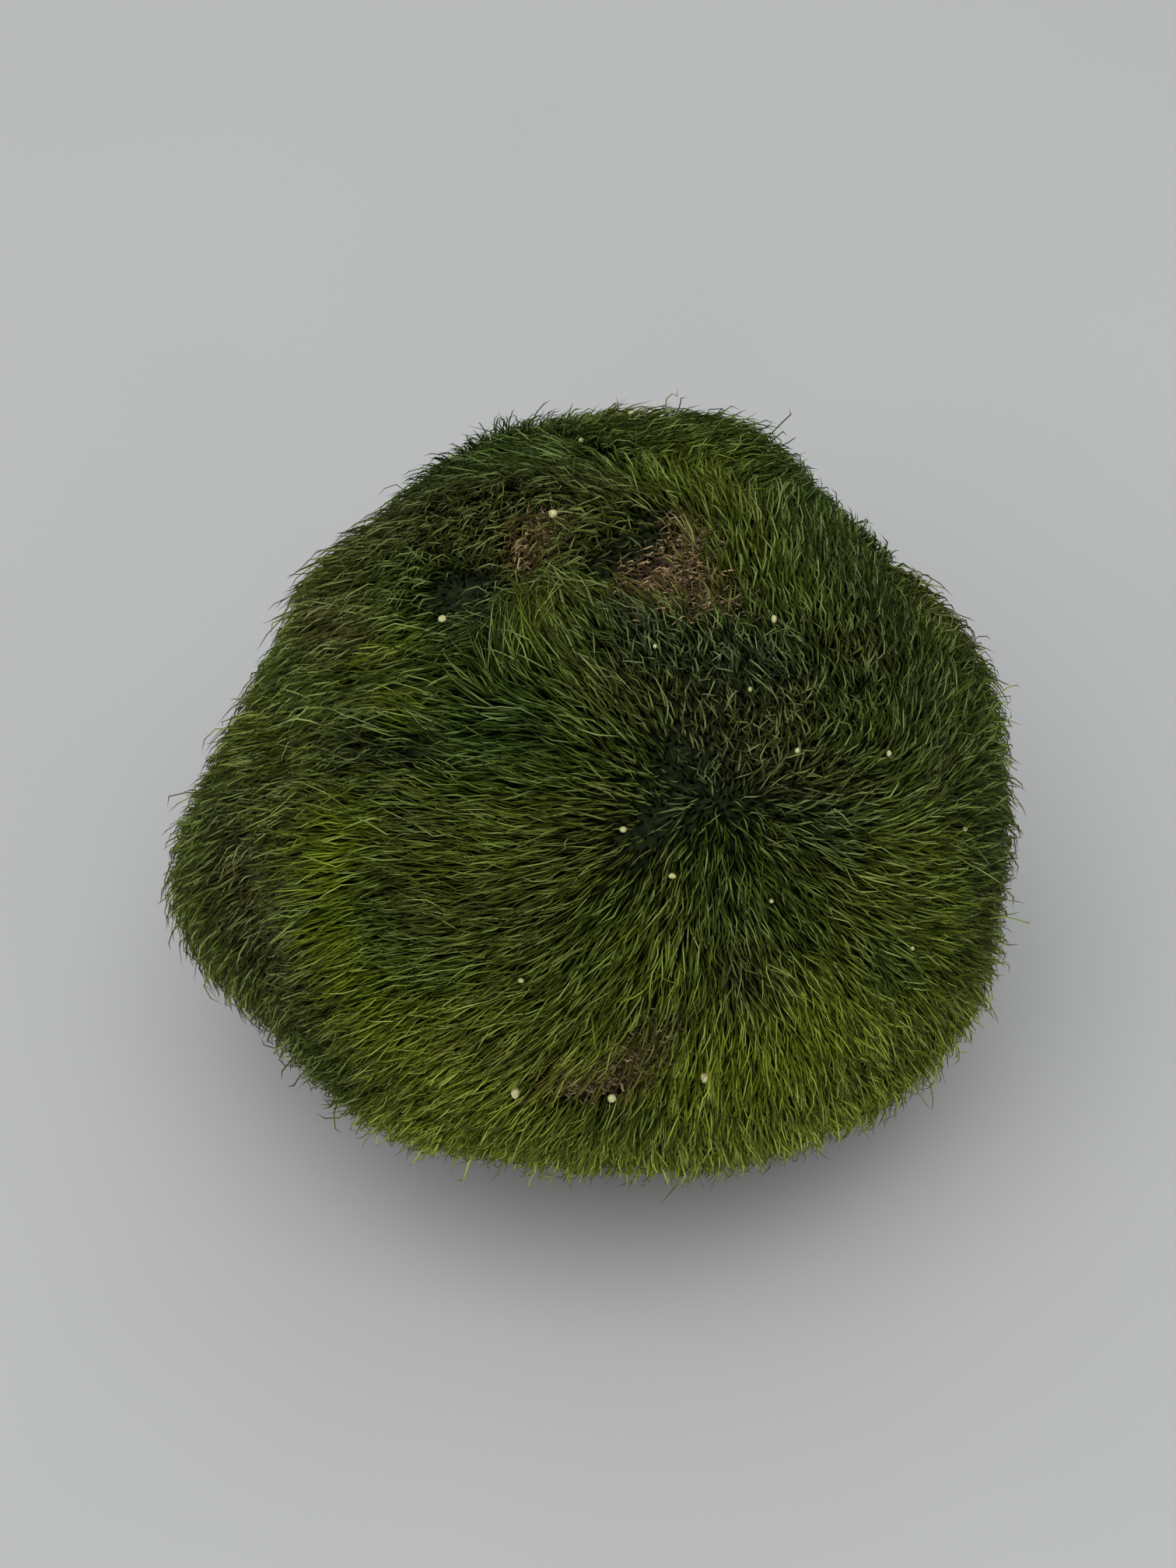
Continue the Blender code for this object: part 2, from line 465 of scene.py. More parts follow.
# The moss takes on these colours one over the other, in this order.
PATCHES = {
    # painted shade: darker moss on the crown, the right side and the left lobe, where less light falls
    "painted_shade": patch(
        seen=((-9, 22, 6, 22.5, 5.5, 0.6), (11, 14, 20, 13, 6, 0.95), (25, 5, 26.5, -4, 4, 0.75),
              (-26.5, -1, -23.5, -10, 4.6, 1), (-19, 12, -10, 16, 5, 0.45), (-14, 9, -9, 12, 3, 0.45),
              (12, 0, 16, 3, 4, 0.45)),
        hidden=((130, 55, 12, 0.6), (-130, 50, 12, 0.6), (180, 10, 10, 0.3)),
    ),
    # painted light: lighter yellow-green moss low on the ball and beneath it, as if lit from the pale floor
    "painted_light": patch(
        seen=((-9, -12, 8, -14, 5, 0.26), (-9, -20.5, 12, -21, 5, 0.9), (-12, -3.5, -2, -4, 4, 0.26),
              (12, -19.5, 21, -16, 4.8, 1), (16, -9, 20, -8, 3, 0.25), (9, 22, 12, 20, 2.5, 0.22),
              (-17, -14, -10, -17, 4, 0.35), (-12, -24.5, 16, -25, 3.6, 1), (14, -20, 20, -16.5, 4, 0.4)),
        hidden=((150, -30, 14, 0.5), (-150, -30, 14, 0.5), (90, -30, 10, 0.4), (-90, -30, 10, 0.4),
                (-28, -36, 8, 1), (0, -36, 8, 1), (28, -36, 8, 1), (49, -32, 7, 1), (66, -21, 5, 0.9)),
    ),
    "lime": patch(
        seen=((-18.6, -4.5, -19, -11, 1.7, 1), (-18.6, -11, -15, -16.5, 2, 0.7),
              (-20.5, -3.5, -16.5, -2, 1.5, 0.45), (-17.5, 8.7, -13.2, 11, 0.9, 0.7),
              (-14, 6.5, -11.6, 1.5, 1.1, 0.65), (-16, -19, -9.5, -23.5, 3.2, 0.4),
              (7.5, -21, 14, -20.5, 3, 0.5), (14, -20, 21, -17, 3.2, 0.5), (24.5, -14.5, 26, -8, 2, 0.55),
              (22.5, -4.5, 27.5, -4, 2.4, 0.3), (4.5, 23, 12, 23.5, 3.2, 0.42), (9.5, 18, 15, 15, 3.4, 0.3),
              (-5, 10.5, -3.4, 12.8, 0.9, 0.34), (-24, 5, -26.5, 0, 2.4, 0.22),
              (3, -10.5, 6, -14.5, 1.5, 0.4), (13.5, -14, 14, -15.5, 0.8, 0.6),
              (-14.5, -12.5, -12.5, -15, 2.4, 0.3)),
        hidden=((150, -12, 7, 0.8), (-135, -8, 6, 0.8), (175, 30, 5, 0.5), (95, 5, 4, 0.5),
                (-100, 35, 4, 0.5), (110, -35, 8, 0.7), (-100, -35, 8, 0.7), (180, -40, 8, 0.6)),
    ),
    "green": patch(
        seen=((-10.5, 3.5, -5, 4, 2.6, 0.95), (-9, 7, -4.5, 6.5, 1.8, 0.7), (8, 13.6, 10, 12.6, 1.3, 1),
              (-15, -10, -12, -13, 2.4, 0.6), (-9, 23, -1, 24, 2.6, 0.6), (20.5, -12.5, 22.5, -13.5, 2, 0.9),
              (8.5, -2.5, 10.5, -8.5, 2, 0.7), (-14.5, 15.5, -13, 13.5, 1.5, 0.3),
              (0.5, -23.5, 4.5, -23.5, 1.8, 0.6), (27.5, 8, 28.5, -2, 2.2, 0.7), (19, 5.5, 19, 7, 2.4, 0.5),
              (14.5, -8.5, 16, -10.5, 2.2, 0.5), (-19.5, -19, -17, -22, 2.2, 0.6),
              (-20.5, 5.5, -19, 6.5, 1.8, 0.4)),
        hidden=((125, 40, 7, 0.8), (-150, 45, 7, 0.8), (-170, -15, 6, 0.7), (85, -20, 6, 0.6),
                (160, 10, 4, 0.7)),
    ),
    # dull grey-green moss, and painted shade in the whorl's dimple and the pits
    "dull_and_pit_shade": patch(
        seen=((4.2, -3.6, 7, 2.4, 2, 1), (3, 10.5, 9, 9, 2.8, 0.65), (9, 5, 13, 8.5, 3.2, 0.5),
              (12, 1, 18, -2, 3.2, 0.6), (-17.5, 3.4, -12.5, 3, 1.5, 0.5), (1, 17, 3.4, 17.6, 1.3, 0.9),
              (-10, 13.4, -8, 13.9, 1.1, 1), (9, 11, 13, 10.5, 1.8, 0.5), (2, 13.4, 4, 12.6, 1.2, 0.7),
              (10, -13.5, 12.5, -15.5, 1.6, 0.6), (-13.5, -2, -11, -2.4, 1, 0.5)),
        hidden=((-170, 22, 3, 1), (140, -5, 4, 0.5), (-115, 10, 5, 0.5)),
    ),
    "brown": patch(
        seen=((-25, -6, -22, -12, 3, 0.95), (-19.5, 13, -17, 10.5, 1.9, 0.8),
              (-21.5, -1, -20.5, 2, 1.6, 0.55), (-12, -8, -4, -9.5, 2.2, 0.45), (-2, -3.5, 2.5, -4, 1.8, 0.6),
              (2.6, -20.4, 5.6, -17.2, 1.5, 0.95), (-9, -18, -5, -19.5, 2, 0.55),
              (14, 2.5, 18, 1.5, 2.6, 0.5), (11, -12.5, 12, -14, 1.4, 0.5),
              (3.5, 8, 7.5, 7, 2.4, 0.4), (-1.5, 22.5, 0.5, 22, 1.6, 0.5), (17.5, 11.5, 20, 11, 1.8, 0.3),
              (-15, 18.5, -3, 18.5, 3.8, 0.55), (8.5, 6, 13, 6.5, 3, 0.45)),
        hidden=((-130, 12, 4, 0.8), (170, 0, 3, 0.7), (115, 12, 4, 0.6), (-160, -35, 4, 0.6)),
    ),
    "rust": patch(
        seen=((5, 16.4, 6.1, 20, 1.7, 1), (2.6, 15.7, 8.2, 15.5, 1.5, 1), (-5.6, 16.4, -4.3, 18.2, 1.4, 0.9),
              (-1.6, -21.8, 1.8, -21.4, 1.8, 0.95), (2.2, -20.6, 4.6, -18.6, 1.1, 0.45)),
        hidden=((150, 24, 2.6, 0.9), (-128, 28, 1.8, 0.6)),
    ),
    "shadowed": patch(
        seen=((-10.9, 14.1, -8.9, 14.7, 1.1, 1), (4, -3.8, 5, -2.6, 0.9, 0.8), (5.4, 0.4, 6.4, 2.2, 0.8, 0.7),
              (-12.4, 3.2, -10.6, 2.5, 0.8, 0.8), (-18.4, 2.8, -15.9, 2.4, 0.8, 0.6),
              (-20.2, 1.2, -18.2, 0.9, 0.6, 0.7), (-13.6, -2.2, -11.2, -2.6, 0.5, 0.8),
              (1.2, 17.2, 2.9, 17.6, 0.8, 0.8), (-6.4, 5.6, -3.8, 5.2, 0.7, 0.4),
              (-2.4, -5.2, -1.2, -5.8, 0.6, 0.5), (-26.5, -2, -24, -12, 4, 0.17),
              (27, 9, 28.5, -4, 3.5, 0.12), (10, 16, 20, 14, 5, 0.11), (-4, 22, 6, 23, 4, 0.08)),
        hidden=((-168, 26, 1.6, 0.8), (146, 20, 1, 0.8), (-120, 5, 1, 0.7), (100, 15, 0.9, 0.7)),
    ),
}


@dataclass(frozen=True)
class Whorl:
    """A place from which the filaments run outwards along the skin."""

    middle: Vector
    strength: float


@dataclass(frozen=True)
class Stroke:
    """A stroke of the comb through places by where they show: the filaments near it lie along it."""

    places: tuple[tuple[float, float], ...]
    reach: float = 3.0
    step: float = 2.5

    def marks(self) -> Iterator[tuple[float, float, float]]:
        """Places along the stroke, a step apart, each with the angle at which the stroke passes it.

        Yields:
            Millimetres right and up in the picture, and degrees from its right towards its up.
        """
        for (right, up), (last_right, last_up) in zip(self.places, self.places[1:]):
            across, rise = last_right - right, last_up - up
            count = max(1, round(math.hypot(across, rise) / self.step))
            for number in range(count):
                share = (number + 0.5) / count
                yield right + across * share, up + rise * share, math.degrees(math.atan2(rise, across))


@dataclass
class Comb:
    """How the moss is combed: out from the whorls everywhere, and along the strokes where it shows."""

    whorls: tuple[Whorl, ...] = (
        Whorl(direction(24, 41), 1.0),
        Whorl(direction(-165, 28), 0.8),
    )
    droop: float = 0.15
    meander: float = 0.6  # how far the common lie strays from the whorls'
    eye: float = 0.1
    crooks: float = 2.4  # how many times it strays over the ball's radius
    common: float = 0.12  # weight of the whorls beside a stroke's
    seed: int = 3  # without it the noise differs from run to run
    leftwards: tuple[Stroke, ...] = (
        Stroke(((6, -3), (2, -5), (-4, -7), (-8, -7.5), (-13, -7.5), (-18, -9))),
        Stroke(((5, -1), (0, -0.5), (-5, 0), (-11, 2), (-15, 2), (-18, 1.4), (-22, 0.6))),
        Stroke(((6.5, 0.5), (3, 2), (0, 3.8), (-3, 4), (-6, 3.2), (-10, 3), (-13.5, 5))),
        Stroke(((1, 4.5), (-2.5, 6), (-6, 6), (-9.5, 5.3), (-13, 6.5), (-16, 6), (-20, 4.5), (-25, 3))),
        Stroke(((-1, -3.5), (-7, -3.5), (-13, -3), (-18, -3.5))),
        Stroke(((5.5, -4), (1, -8), (-3, -10.5), (-7, -11.5), (-12, -11.5), (-17, -12))),
        Stroke(((-6, -9.6), (-9, -9.6), (-13, -9.2))),
        Stroke(((-6, -13.5), (-11, -15.4), (-15, -16.6), (-18.5, -18))),
        Stroke(((-5, -15.5), (-10, -18.7), (-14.5, -22))),
    )
    downwards: tuple[Stroke, ...] = (
        Stroke(((6, -5), (3.5, -9.5), (-0.5, -14.5), (-6, -18.5), (-13, -22.5))),
        Stroke(((7, -5.5), (5.5, -11), (2.5, -16.5), (-1.5, -21.5), (-4, -24))),
        Stroke(((8.5, -5.5), (8, -11), (7, -16.5), (5, -22.5))),
        Stroke(((9.5, -1.5), (8, -5))),
        Stroke(((9, -6.5), (8.7, -11), (8.4, -16), (7.8, -23)), 2.4),
        Stroke(((11, -7), (13, -10.5), (15, -14), (16, -17)), 2.4, 1.5),
        Stroke(((12, -2), (12.5, -5), (14, -9), (16.5, -14.5), (18.5, -20))),
    )
    rightwards: tuple[Stroke, ...] = (
        Stroke(((12, -5.5), (15, -9), (18, -12.5), (21.5, -16))),
        Stroke(((12.5, -2), (15.5, -5), (18.5, -7), (22, -8), (27, -8))),
        Stroke(((14, -1.5), (18, -1), (22, 0.5), (25.5, 3.5), (27.5, 7.5))),
        Stroke(((14, 1), (16.5, 2), (17, 5), (15, 8), (13, 11.5))),
        Stroke(((21, 2.5), (21.5, 6), (20.5, 10), (19.5, 14), (19, 18.5))),
        Stroke(((23.5, 3.5), (24, 7.5), (24, 12))),
    )
    upwards: tuple[Stroke, ...] = (
        Stroke(((9.5, -0.5), (10.5, 2.5), (10.5, 5), (9.5, 8), (7.5, 11.5), (4.5, 14.5))),
        Stroke(((12, -0.5), (12.5, 3), (12, 5.5), (11, 8.5), (10, 12))),
        Stroke(((13, 9), (12.5, 13), (11, 18), (8, 23))),
        Stroke(((17, 6), (14, 9.5))),
        Stroke(((20, 6), (17.5, 9.5), (15, 13)), 2.4, 1.5),
        Stroke(((16, 12), (16, 18), (17, 24))),
        Stroke(((20, 7), (18.5, 11), (18.8, 15), (19.5, 20))),
        Stroke(((7, 1), (6, 4), (3.5, 7.5), (1, 10.5), (-1.5, 13))),
        Stroke(((3, 3.5), (0, 7), (-2, 10.5), (-3, 13)), 2.0),
        Stroke(((-7, 6.5), (-6.2, 9.5), (-4.5, 12.5)), 2.0, 0.7),
    )
    over_the_crown: tuple[Stroke, ...] = (
        Stroke(((6, 20), (1, 22), (-5, 25))),
        Stroke(((5, 16), (1.5, 16))),
        Stroke(((1.5, 19.5), (-3, 17), (-7.5, 14))),
        Stroke(((-2, 23.5), (-7, 20.5), (-12, 17), (-16, 14.5), (-21, 13))),
        Stroke(((-8.5, 22), (-12.5, 18.5), (-18, 16.5), (-22, 15.5))),
        Stroke(((-3.5, 22.5), (-9, 18.5), (-13, 15))),
        Stroke(((-7.5, 12.5), (-12, 12.5), (-16, 12), (-20, 10.5), (-24, 8.5))),
        Stroke(((-7, 11), (-11, 9.5), (-15, 8), (-19, 6.5), (-24, 5.5))),
        Stroke(((-7, 9.5), (-10, 8), (-12, 7.5))),
    )
    over_the_lobe: tuple[Stroke, ...] = (
        Stroke(((-16.5, -4), (-21, -4.5), (-25.5, -7), (-28, -10.5))),
        Stroke(((-20, 2), (-26, 1), (-28.5, -1))),
        Stroke(((-18, -8), (-22.5, -10), (-24.5, -13.5))),
        Stroke(((-16, -11.5), (-21, -13.5))),
        Stroke(((-14.5, -17), (-19.5, -20.5))),
    )

    @property
    def strokes(self) -> tuple[Stroke, ...]:
        """All strokes of the comb."""
        return (*self.leftwards, *self.downwards, *self.rightwards, *self.upwards, *self.over_the_crown,
                *self.over_the_lobe)

    def lie(self, directions: np.ndarray) -> np.ndarray:
        """The unit directions in which the filaments lie.

        Args:
            directions: Unit directions from the ball's middle, one a row.

        Returns:
            Unit directions along the skin, one a row.
        """
        flow = np.tile([0.0, 0.0, -self.droop], (len(directions), 1))
        for whorl in self.whorls:
            away = directions - np.array(whorl.middle)
            flow += away * (whorl.strength / np.maximum((away**2).sum(1), self.eye**2))[:, None]
        noise.seed_set(self.seed)
        winding = np.array([noise.noise_vector(Vector(place) * self.crooks) for place in directions])
        flow = (self.flat(flow, directions) + winding * self.meander) * self.common
        for stroke in self.strokes:
            for right, up, angle in stroke.marks():
                place = SKIN.seen(right, up)
                toward = np.array((place - SKIN.middle).normalized())
                near = ((directions - toward) ** 2).sum(1) / (stroke.reach * MM / SKIN.radius) ** 2
                flow += np.exp(-near)[:, None] * np.array(SKIN.heading(place, angle))
        return self.flat(flow, directions)

    @staticmethod
    def flat(flow: np.ndarray, directions: np.ndarray) -> np.ndarray:
        """The part of a flow that runs along the skin, at length one."""
        flow = flow - directions * (flow * directions).sum(1)[:, None]
        return flow / np.maximum(np.linalg.norm(flow, axis=1), TINY)[:, None]


@dataclass(frozen=True)
class Finish:
    """A procedural material. Each kind says what the shader's sockets get."""

    name: str

    def sockets(self, tree: Tree) -> dict[str, Any]:
        """A wire or a number for each socket of the shader that the finish sets."""
        raise NotImplementedError

    def material(self) -> bpy.types.Material:
        """Makes the material.

        Returns:
            The finish as a material.
        """
        material = bpy.data.materials.new(self.name)
        material.use_nodes = True
        tree = Tree(material.node_tree)
        tree.fill(material.node_tree.nodes["Principled BSDF"], self.sockets(tree))
        return material


@dataclass(frozen=True)
class MossFinish(Finish):
    """The green of the filaments, darkened by painted shade at their roots and tips. Each patch's colour has
    the patch's name.
    """

    olive: Colour = (0.109, 0.141, 0.013)
    green: Colour = (0.066, 0.118, 0.014)
    lime: Colour = (0.235, 0.302, 0.010)
    # dull grey-green, which also serves as painted shade in the whorl and the pits
    dull_and_pit_shade: Colour = (0.058, 0.078, 0.036)
    brown: Colour = (0.112, 0.100, 0.026)
    rust: Colour = (0.185, 0.118, 0.036)
    # the darker green of the painted shade on the crown, the right side and the lobe
    painted_shade: Colour = (0.052, 0.070, 0.010)
    # the lighter yellow-green of the painted light low on the ball
    painted_light: Colour = (0.342, 0.395, 0.034)
    shadowed: Colour = (0.010, 0.014, 0.006)
    # the pale colour of the painted sheen on the lightest filaments
    pale: Colour = (0.245, 0.295, 0.120)
    # painted shade: the deeper coats are tinted greener
    shade_tint: Colour = (1.0, 1.0, 1.0)
    broad: float = 9 * MM  # size of the wide patches of green in the olive
    fine: float = 2.4 * MM  # size of the small ones
    fine_shift: Colour = (0.3, 0.1, 0.7)
    greening: float = 0.8  # how green the patches are
    green_mix: tuple[float, float] = (0.8, 0.3)  # how far wide and small patches count in that
    green_turn: tuple[float, float] = (0.46, 0.72)  # where in their noise the green begins and is full
    browning: float = 0.60  # how brown the brownest filaments between the green ones are
    brown_mix: tuple[float, float] = (0.4, 0.7)  # how far small patches and tones count in that
    brown_turn: tuple[float, float] = (0.55, 0.88)
    ragged: float = 1.1  # how much the small patches break up the larger ones
    mingled: float = 0.3  # how much the filaments' tones do so
    least_ragged: float = 0.35  # how much of a patch's colour shows where they break it up most
    flickers: float = 37.0  # how fast the light flickers with a filament's tone
    flicker: float = 0.26
    sparks: float = 0.74  # how much lighter the few lightest filaments are, a painted sheen
    sheen_paleness: float = 0.38  # and how pale, towards the colour of the painted sheen
    rarity: float = 4.0  # the higher, the fewer they are
    wisps: float = 0.08  # how much lighter one wisp is than another
    bands: float = 9.0  # radians of painted glints, light and dark, along a filament
    band_start: float = 80.0  # radians by which the bands shift with a filament's tone
    # how strong the painted glints are
    painted_glint: float = 0.20
    common_light: float = 0.74
    root: float = 0.12  # how light a filament's root is beside its middle, painted shade deep in the moss
    root_part: tuple[float, float] = (0.05, 0.5)  # from where to where along it the root's painted shade fades
    fade: float = 0.62  # how much its tip is darkened, painted shade where the tips dive among the others
    tip_part: tuple[float, float] = (0.60, 1.0)
    # lit and shaded copies: each coat is set darker the deeper it lies, a painted shade
    level: float = 1.0
    roughness: float = 0.47
    rougher: float = 0.16  # how much rougher some filaments are
    specular: float = 0.06

    def colour(self, tree: Tree) -> Wire:
        """The colour of a filament by its root's place, its own tone and how far along it is.

        Args:
            tree: The shader's tree.

        Returns:
            The colour's wire.
        """
        at = tree.attribute("root", "Vector")
        tone, reach, wisp = (tree.attribute(name) for name in ("tone", "reach", "wisp"))
        broad = tree.noise(at, self.broad)
        fine = tree.noise(at, self.fine, shift=self.fine_shift)
        greenness = (broad * self.green_mix[0] + fine * self.green_mix[1]).ease(*self.green_turn)
        colour = tree.mix(greenness * self.greening, self.olive, self.green)
        brownness = (fine * self.brown_mix[0] + tone * self.brown_mix[1]).ease(*self.brown_turn)
        colour = tree.mix(brownness * self.browning, colour, self.brown)
        for name in PATCHES:
            share = tree.attribute(name) * (fine * self.ragged + tone * self.mingled + self.least_ragged)
            colour = tree.mix(share.at_most(1.0), colour, getattr(self, name))
        flicker = (tone * self.flickers).sine()
        # A few filaments, chosen by their tone, get a painted sheen: lighter and paler.
        spark = (flicker * 0.5 + 0.5) ** self.rarity
        colour = tree.mix(spark * self.sheen_paleness, colour, self.pale)
        painted_glint = (reach * self.bands + tone * self.band_start).sine() * self.painted_glint
        light = flicker * self.flicker + spark * self.sparks + wisp * self.wisps + painted_glint + self.common_light
        # Painted shade: darker at the root, deep in the moss, and at the tip, where it dives among the others.
        end_shade = reach.ease(*self.root_part) * (1.0 - self.root) + self.root
        end_shade = end_shade - reach.ease(*self.tip_part) * self.fade
        return colour * self.shade_tint * (end_shade * light * self.level)

    def sockets(self, tree: Tree) -> dict[str, Any]:
        """What the shader's sockets get."""
        rough = tree.attribute("tone") * self.rougher + self.roughness
        return {"Base Color": self.colour(tree), "Roughness": rough, "Specular IOR Level": self.specular}


@dataclass(frozen=True)
class WitheredFinish(Finish):
    """Withered filaments, pinkish brown."""

    name: str = "withered_filaments"
    brown: Colour = (0.085, 0.050, 0.018)
    straw: Colour = (0.680, 0.480, 0.235)
    turn: tuple[float, float] = (0.30, 0.95)  # the tones at which the brown ends and the straw is full
    root: float = 0.45  # how light a filament's root is beside its tip, painted shade deep in the tuft
    root_part: tuple[float, float] = (0.0, 0.8)
    roughness: float = 0.5
    rougher: float = 0.2

    def sockets(self, tree: Tree) -> dict[str, Any]:
        """The filaments' colours, darker at the roots as painted shade.

        Args:
            tree: The shader's tree.

        Returns:
            A wire or a number for each socket that the finish sets.
        """
        tone, reach = tree.attribute("tone"), tree.attribute("reach")
        colour = tree.mix(tone.ease(*self.turn), self.brown, self.straw)
        colour = colour * (reach.ease(*self.root_part) * (1.0 - self.root) + self.root)
        return {"Base Color": colour, "Roughness": tone * self.rougher + self.roughness}


@dataclass(frozen=True)
class MottledFinish(Finish):
    """Two colours in soft patches, with a roughness or a relief that goes with them."""

    first: Colour
    second: Colour
    size: float  # of the patches
    turn: tuple[float, float] = (0.35, 0.65)  # where in the noise the first colour turns into the second
    detail: float = 2.0
    roughness: float = 0.3
    rougher: float = 0.0
    specular: float = 0.5
    relief: float = 0.0
    relief_strength: float = 0.8

    def sockets(self, tree: Tree) -> dict[str, Any]:
        """The patches' colours, roughness and relief.

        Args:
            tree: The shader's tree.

        Returns:
            A wire or a number for each socket that the finish sets.
        """
        mottle = tree.noise(tree.wire("ShaderNodeTexCoord", {}, {}, "Object"), self.size, self.detail)
        sockets = {"Base Color": tree.mix(mottle.ease(*self.turn), self.first, self.second),
                   "Roughness": self.roughness, "Specular IOR Level": self.specular}
        if self.rougher:
            sockets["Roughness"] = mottle * self.rougher + self.roughness
        if self.relief:
            relief = {"Height": mottle, "Strength": self.relief_strength, "Distance": self.relief}
            sockets["Normal"] = tree.wire("ShaderNodeBump", {}, relief)
        return sockets


@dataclass(frozen=True)
class FeltFinish(MottledFinish):
    """The felt that shows between the filaments, painted near black as painted shade deep in the moss."""

    name: str = "felt"
    first: Colour = (0.008, 0.012, 0.004)
    second: Colour = (0.022, 0.032, 0.008)
    size: float = 0.5 * MM
    turn: tuple[float, float] = (0.35, 0.7)
    detail: float = 4.0
    roughness: float = 0.85
    specular: float = 0.1
    relief: float = 0.3 * MM


@dataclass(frozen=True)
class GrainFinish(MottledFinish):
    """Pale grains caught in the moss, cream and tan."""

    name: str = "pale_grains"
    first: Colour = (0.72, 0.70, 0.36)
    second: Colour = (0.54, 0.50, 0.20)
    size: float = 0.25 * MM
    rougher: float = 0.3


@dataclass(frozen=True)
class FloorFinish(MottledFinish):
    """The plain pale floor."""

    name: str = "floor"
    first: Colour = (0.615, 0.615, 0.605)
    second: Colour = (0.600, 0.600, 0.592)
    size: float = 60 * MM
    roughness: float = 0.6
    specular: float = 0.2


def store(mesh: bpy.types.Mesh, name: str, values: np.ndarray) -> None:
    """Writes one attribute of a mesh's points.

    Args:
        mesh: The mesh.
        name: The attribute's name.
        values: A number or a vector for each point.
    """
    kind, key = ("FLOAT_VECTOR", "vector") if values.ndim == 2 else ("FLOAT", "value")
    attribute = mesh.attributes.new(name, kind, "POINT")
    attribute.data.foreach_set(key, values.astype(np.float32).ravel())


@dataclass(frozen=True)
class Peak:
    """A place that the tips round it are drawn to. A strength below zero drives them away."""

    right: float
    up: float
    spot: Spot
    strength: float

    def pull(self, points: np.ndarray) -> np.ndarray:
        """How far each point's filament is pulled towards the peak."""
        way = np.array(SKIN.seen(self.right, self.up)) - points
        return way * (self.spot.share(points) * self.strength)[:, None]


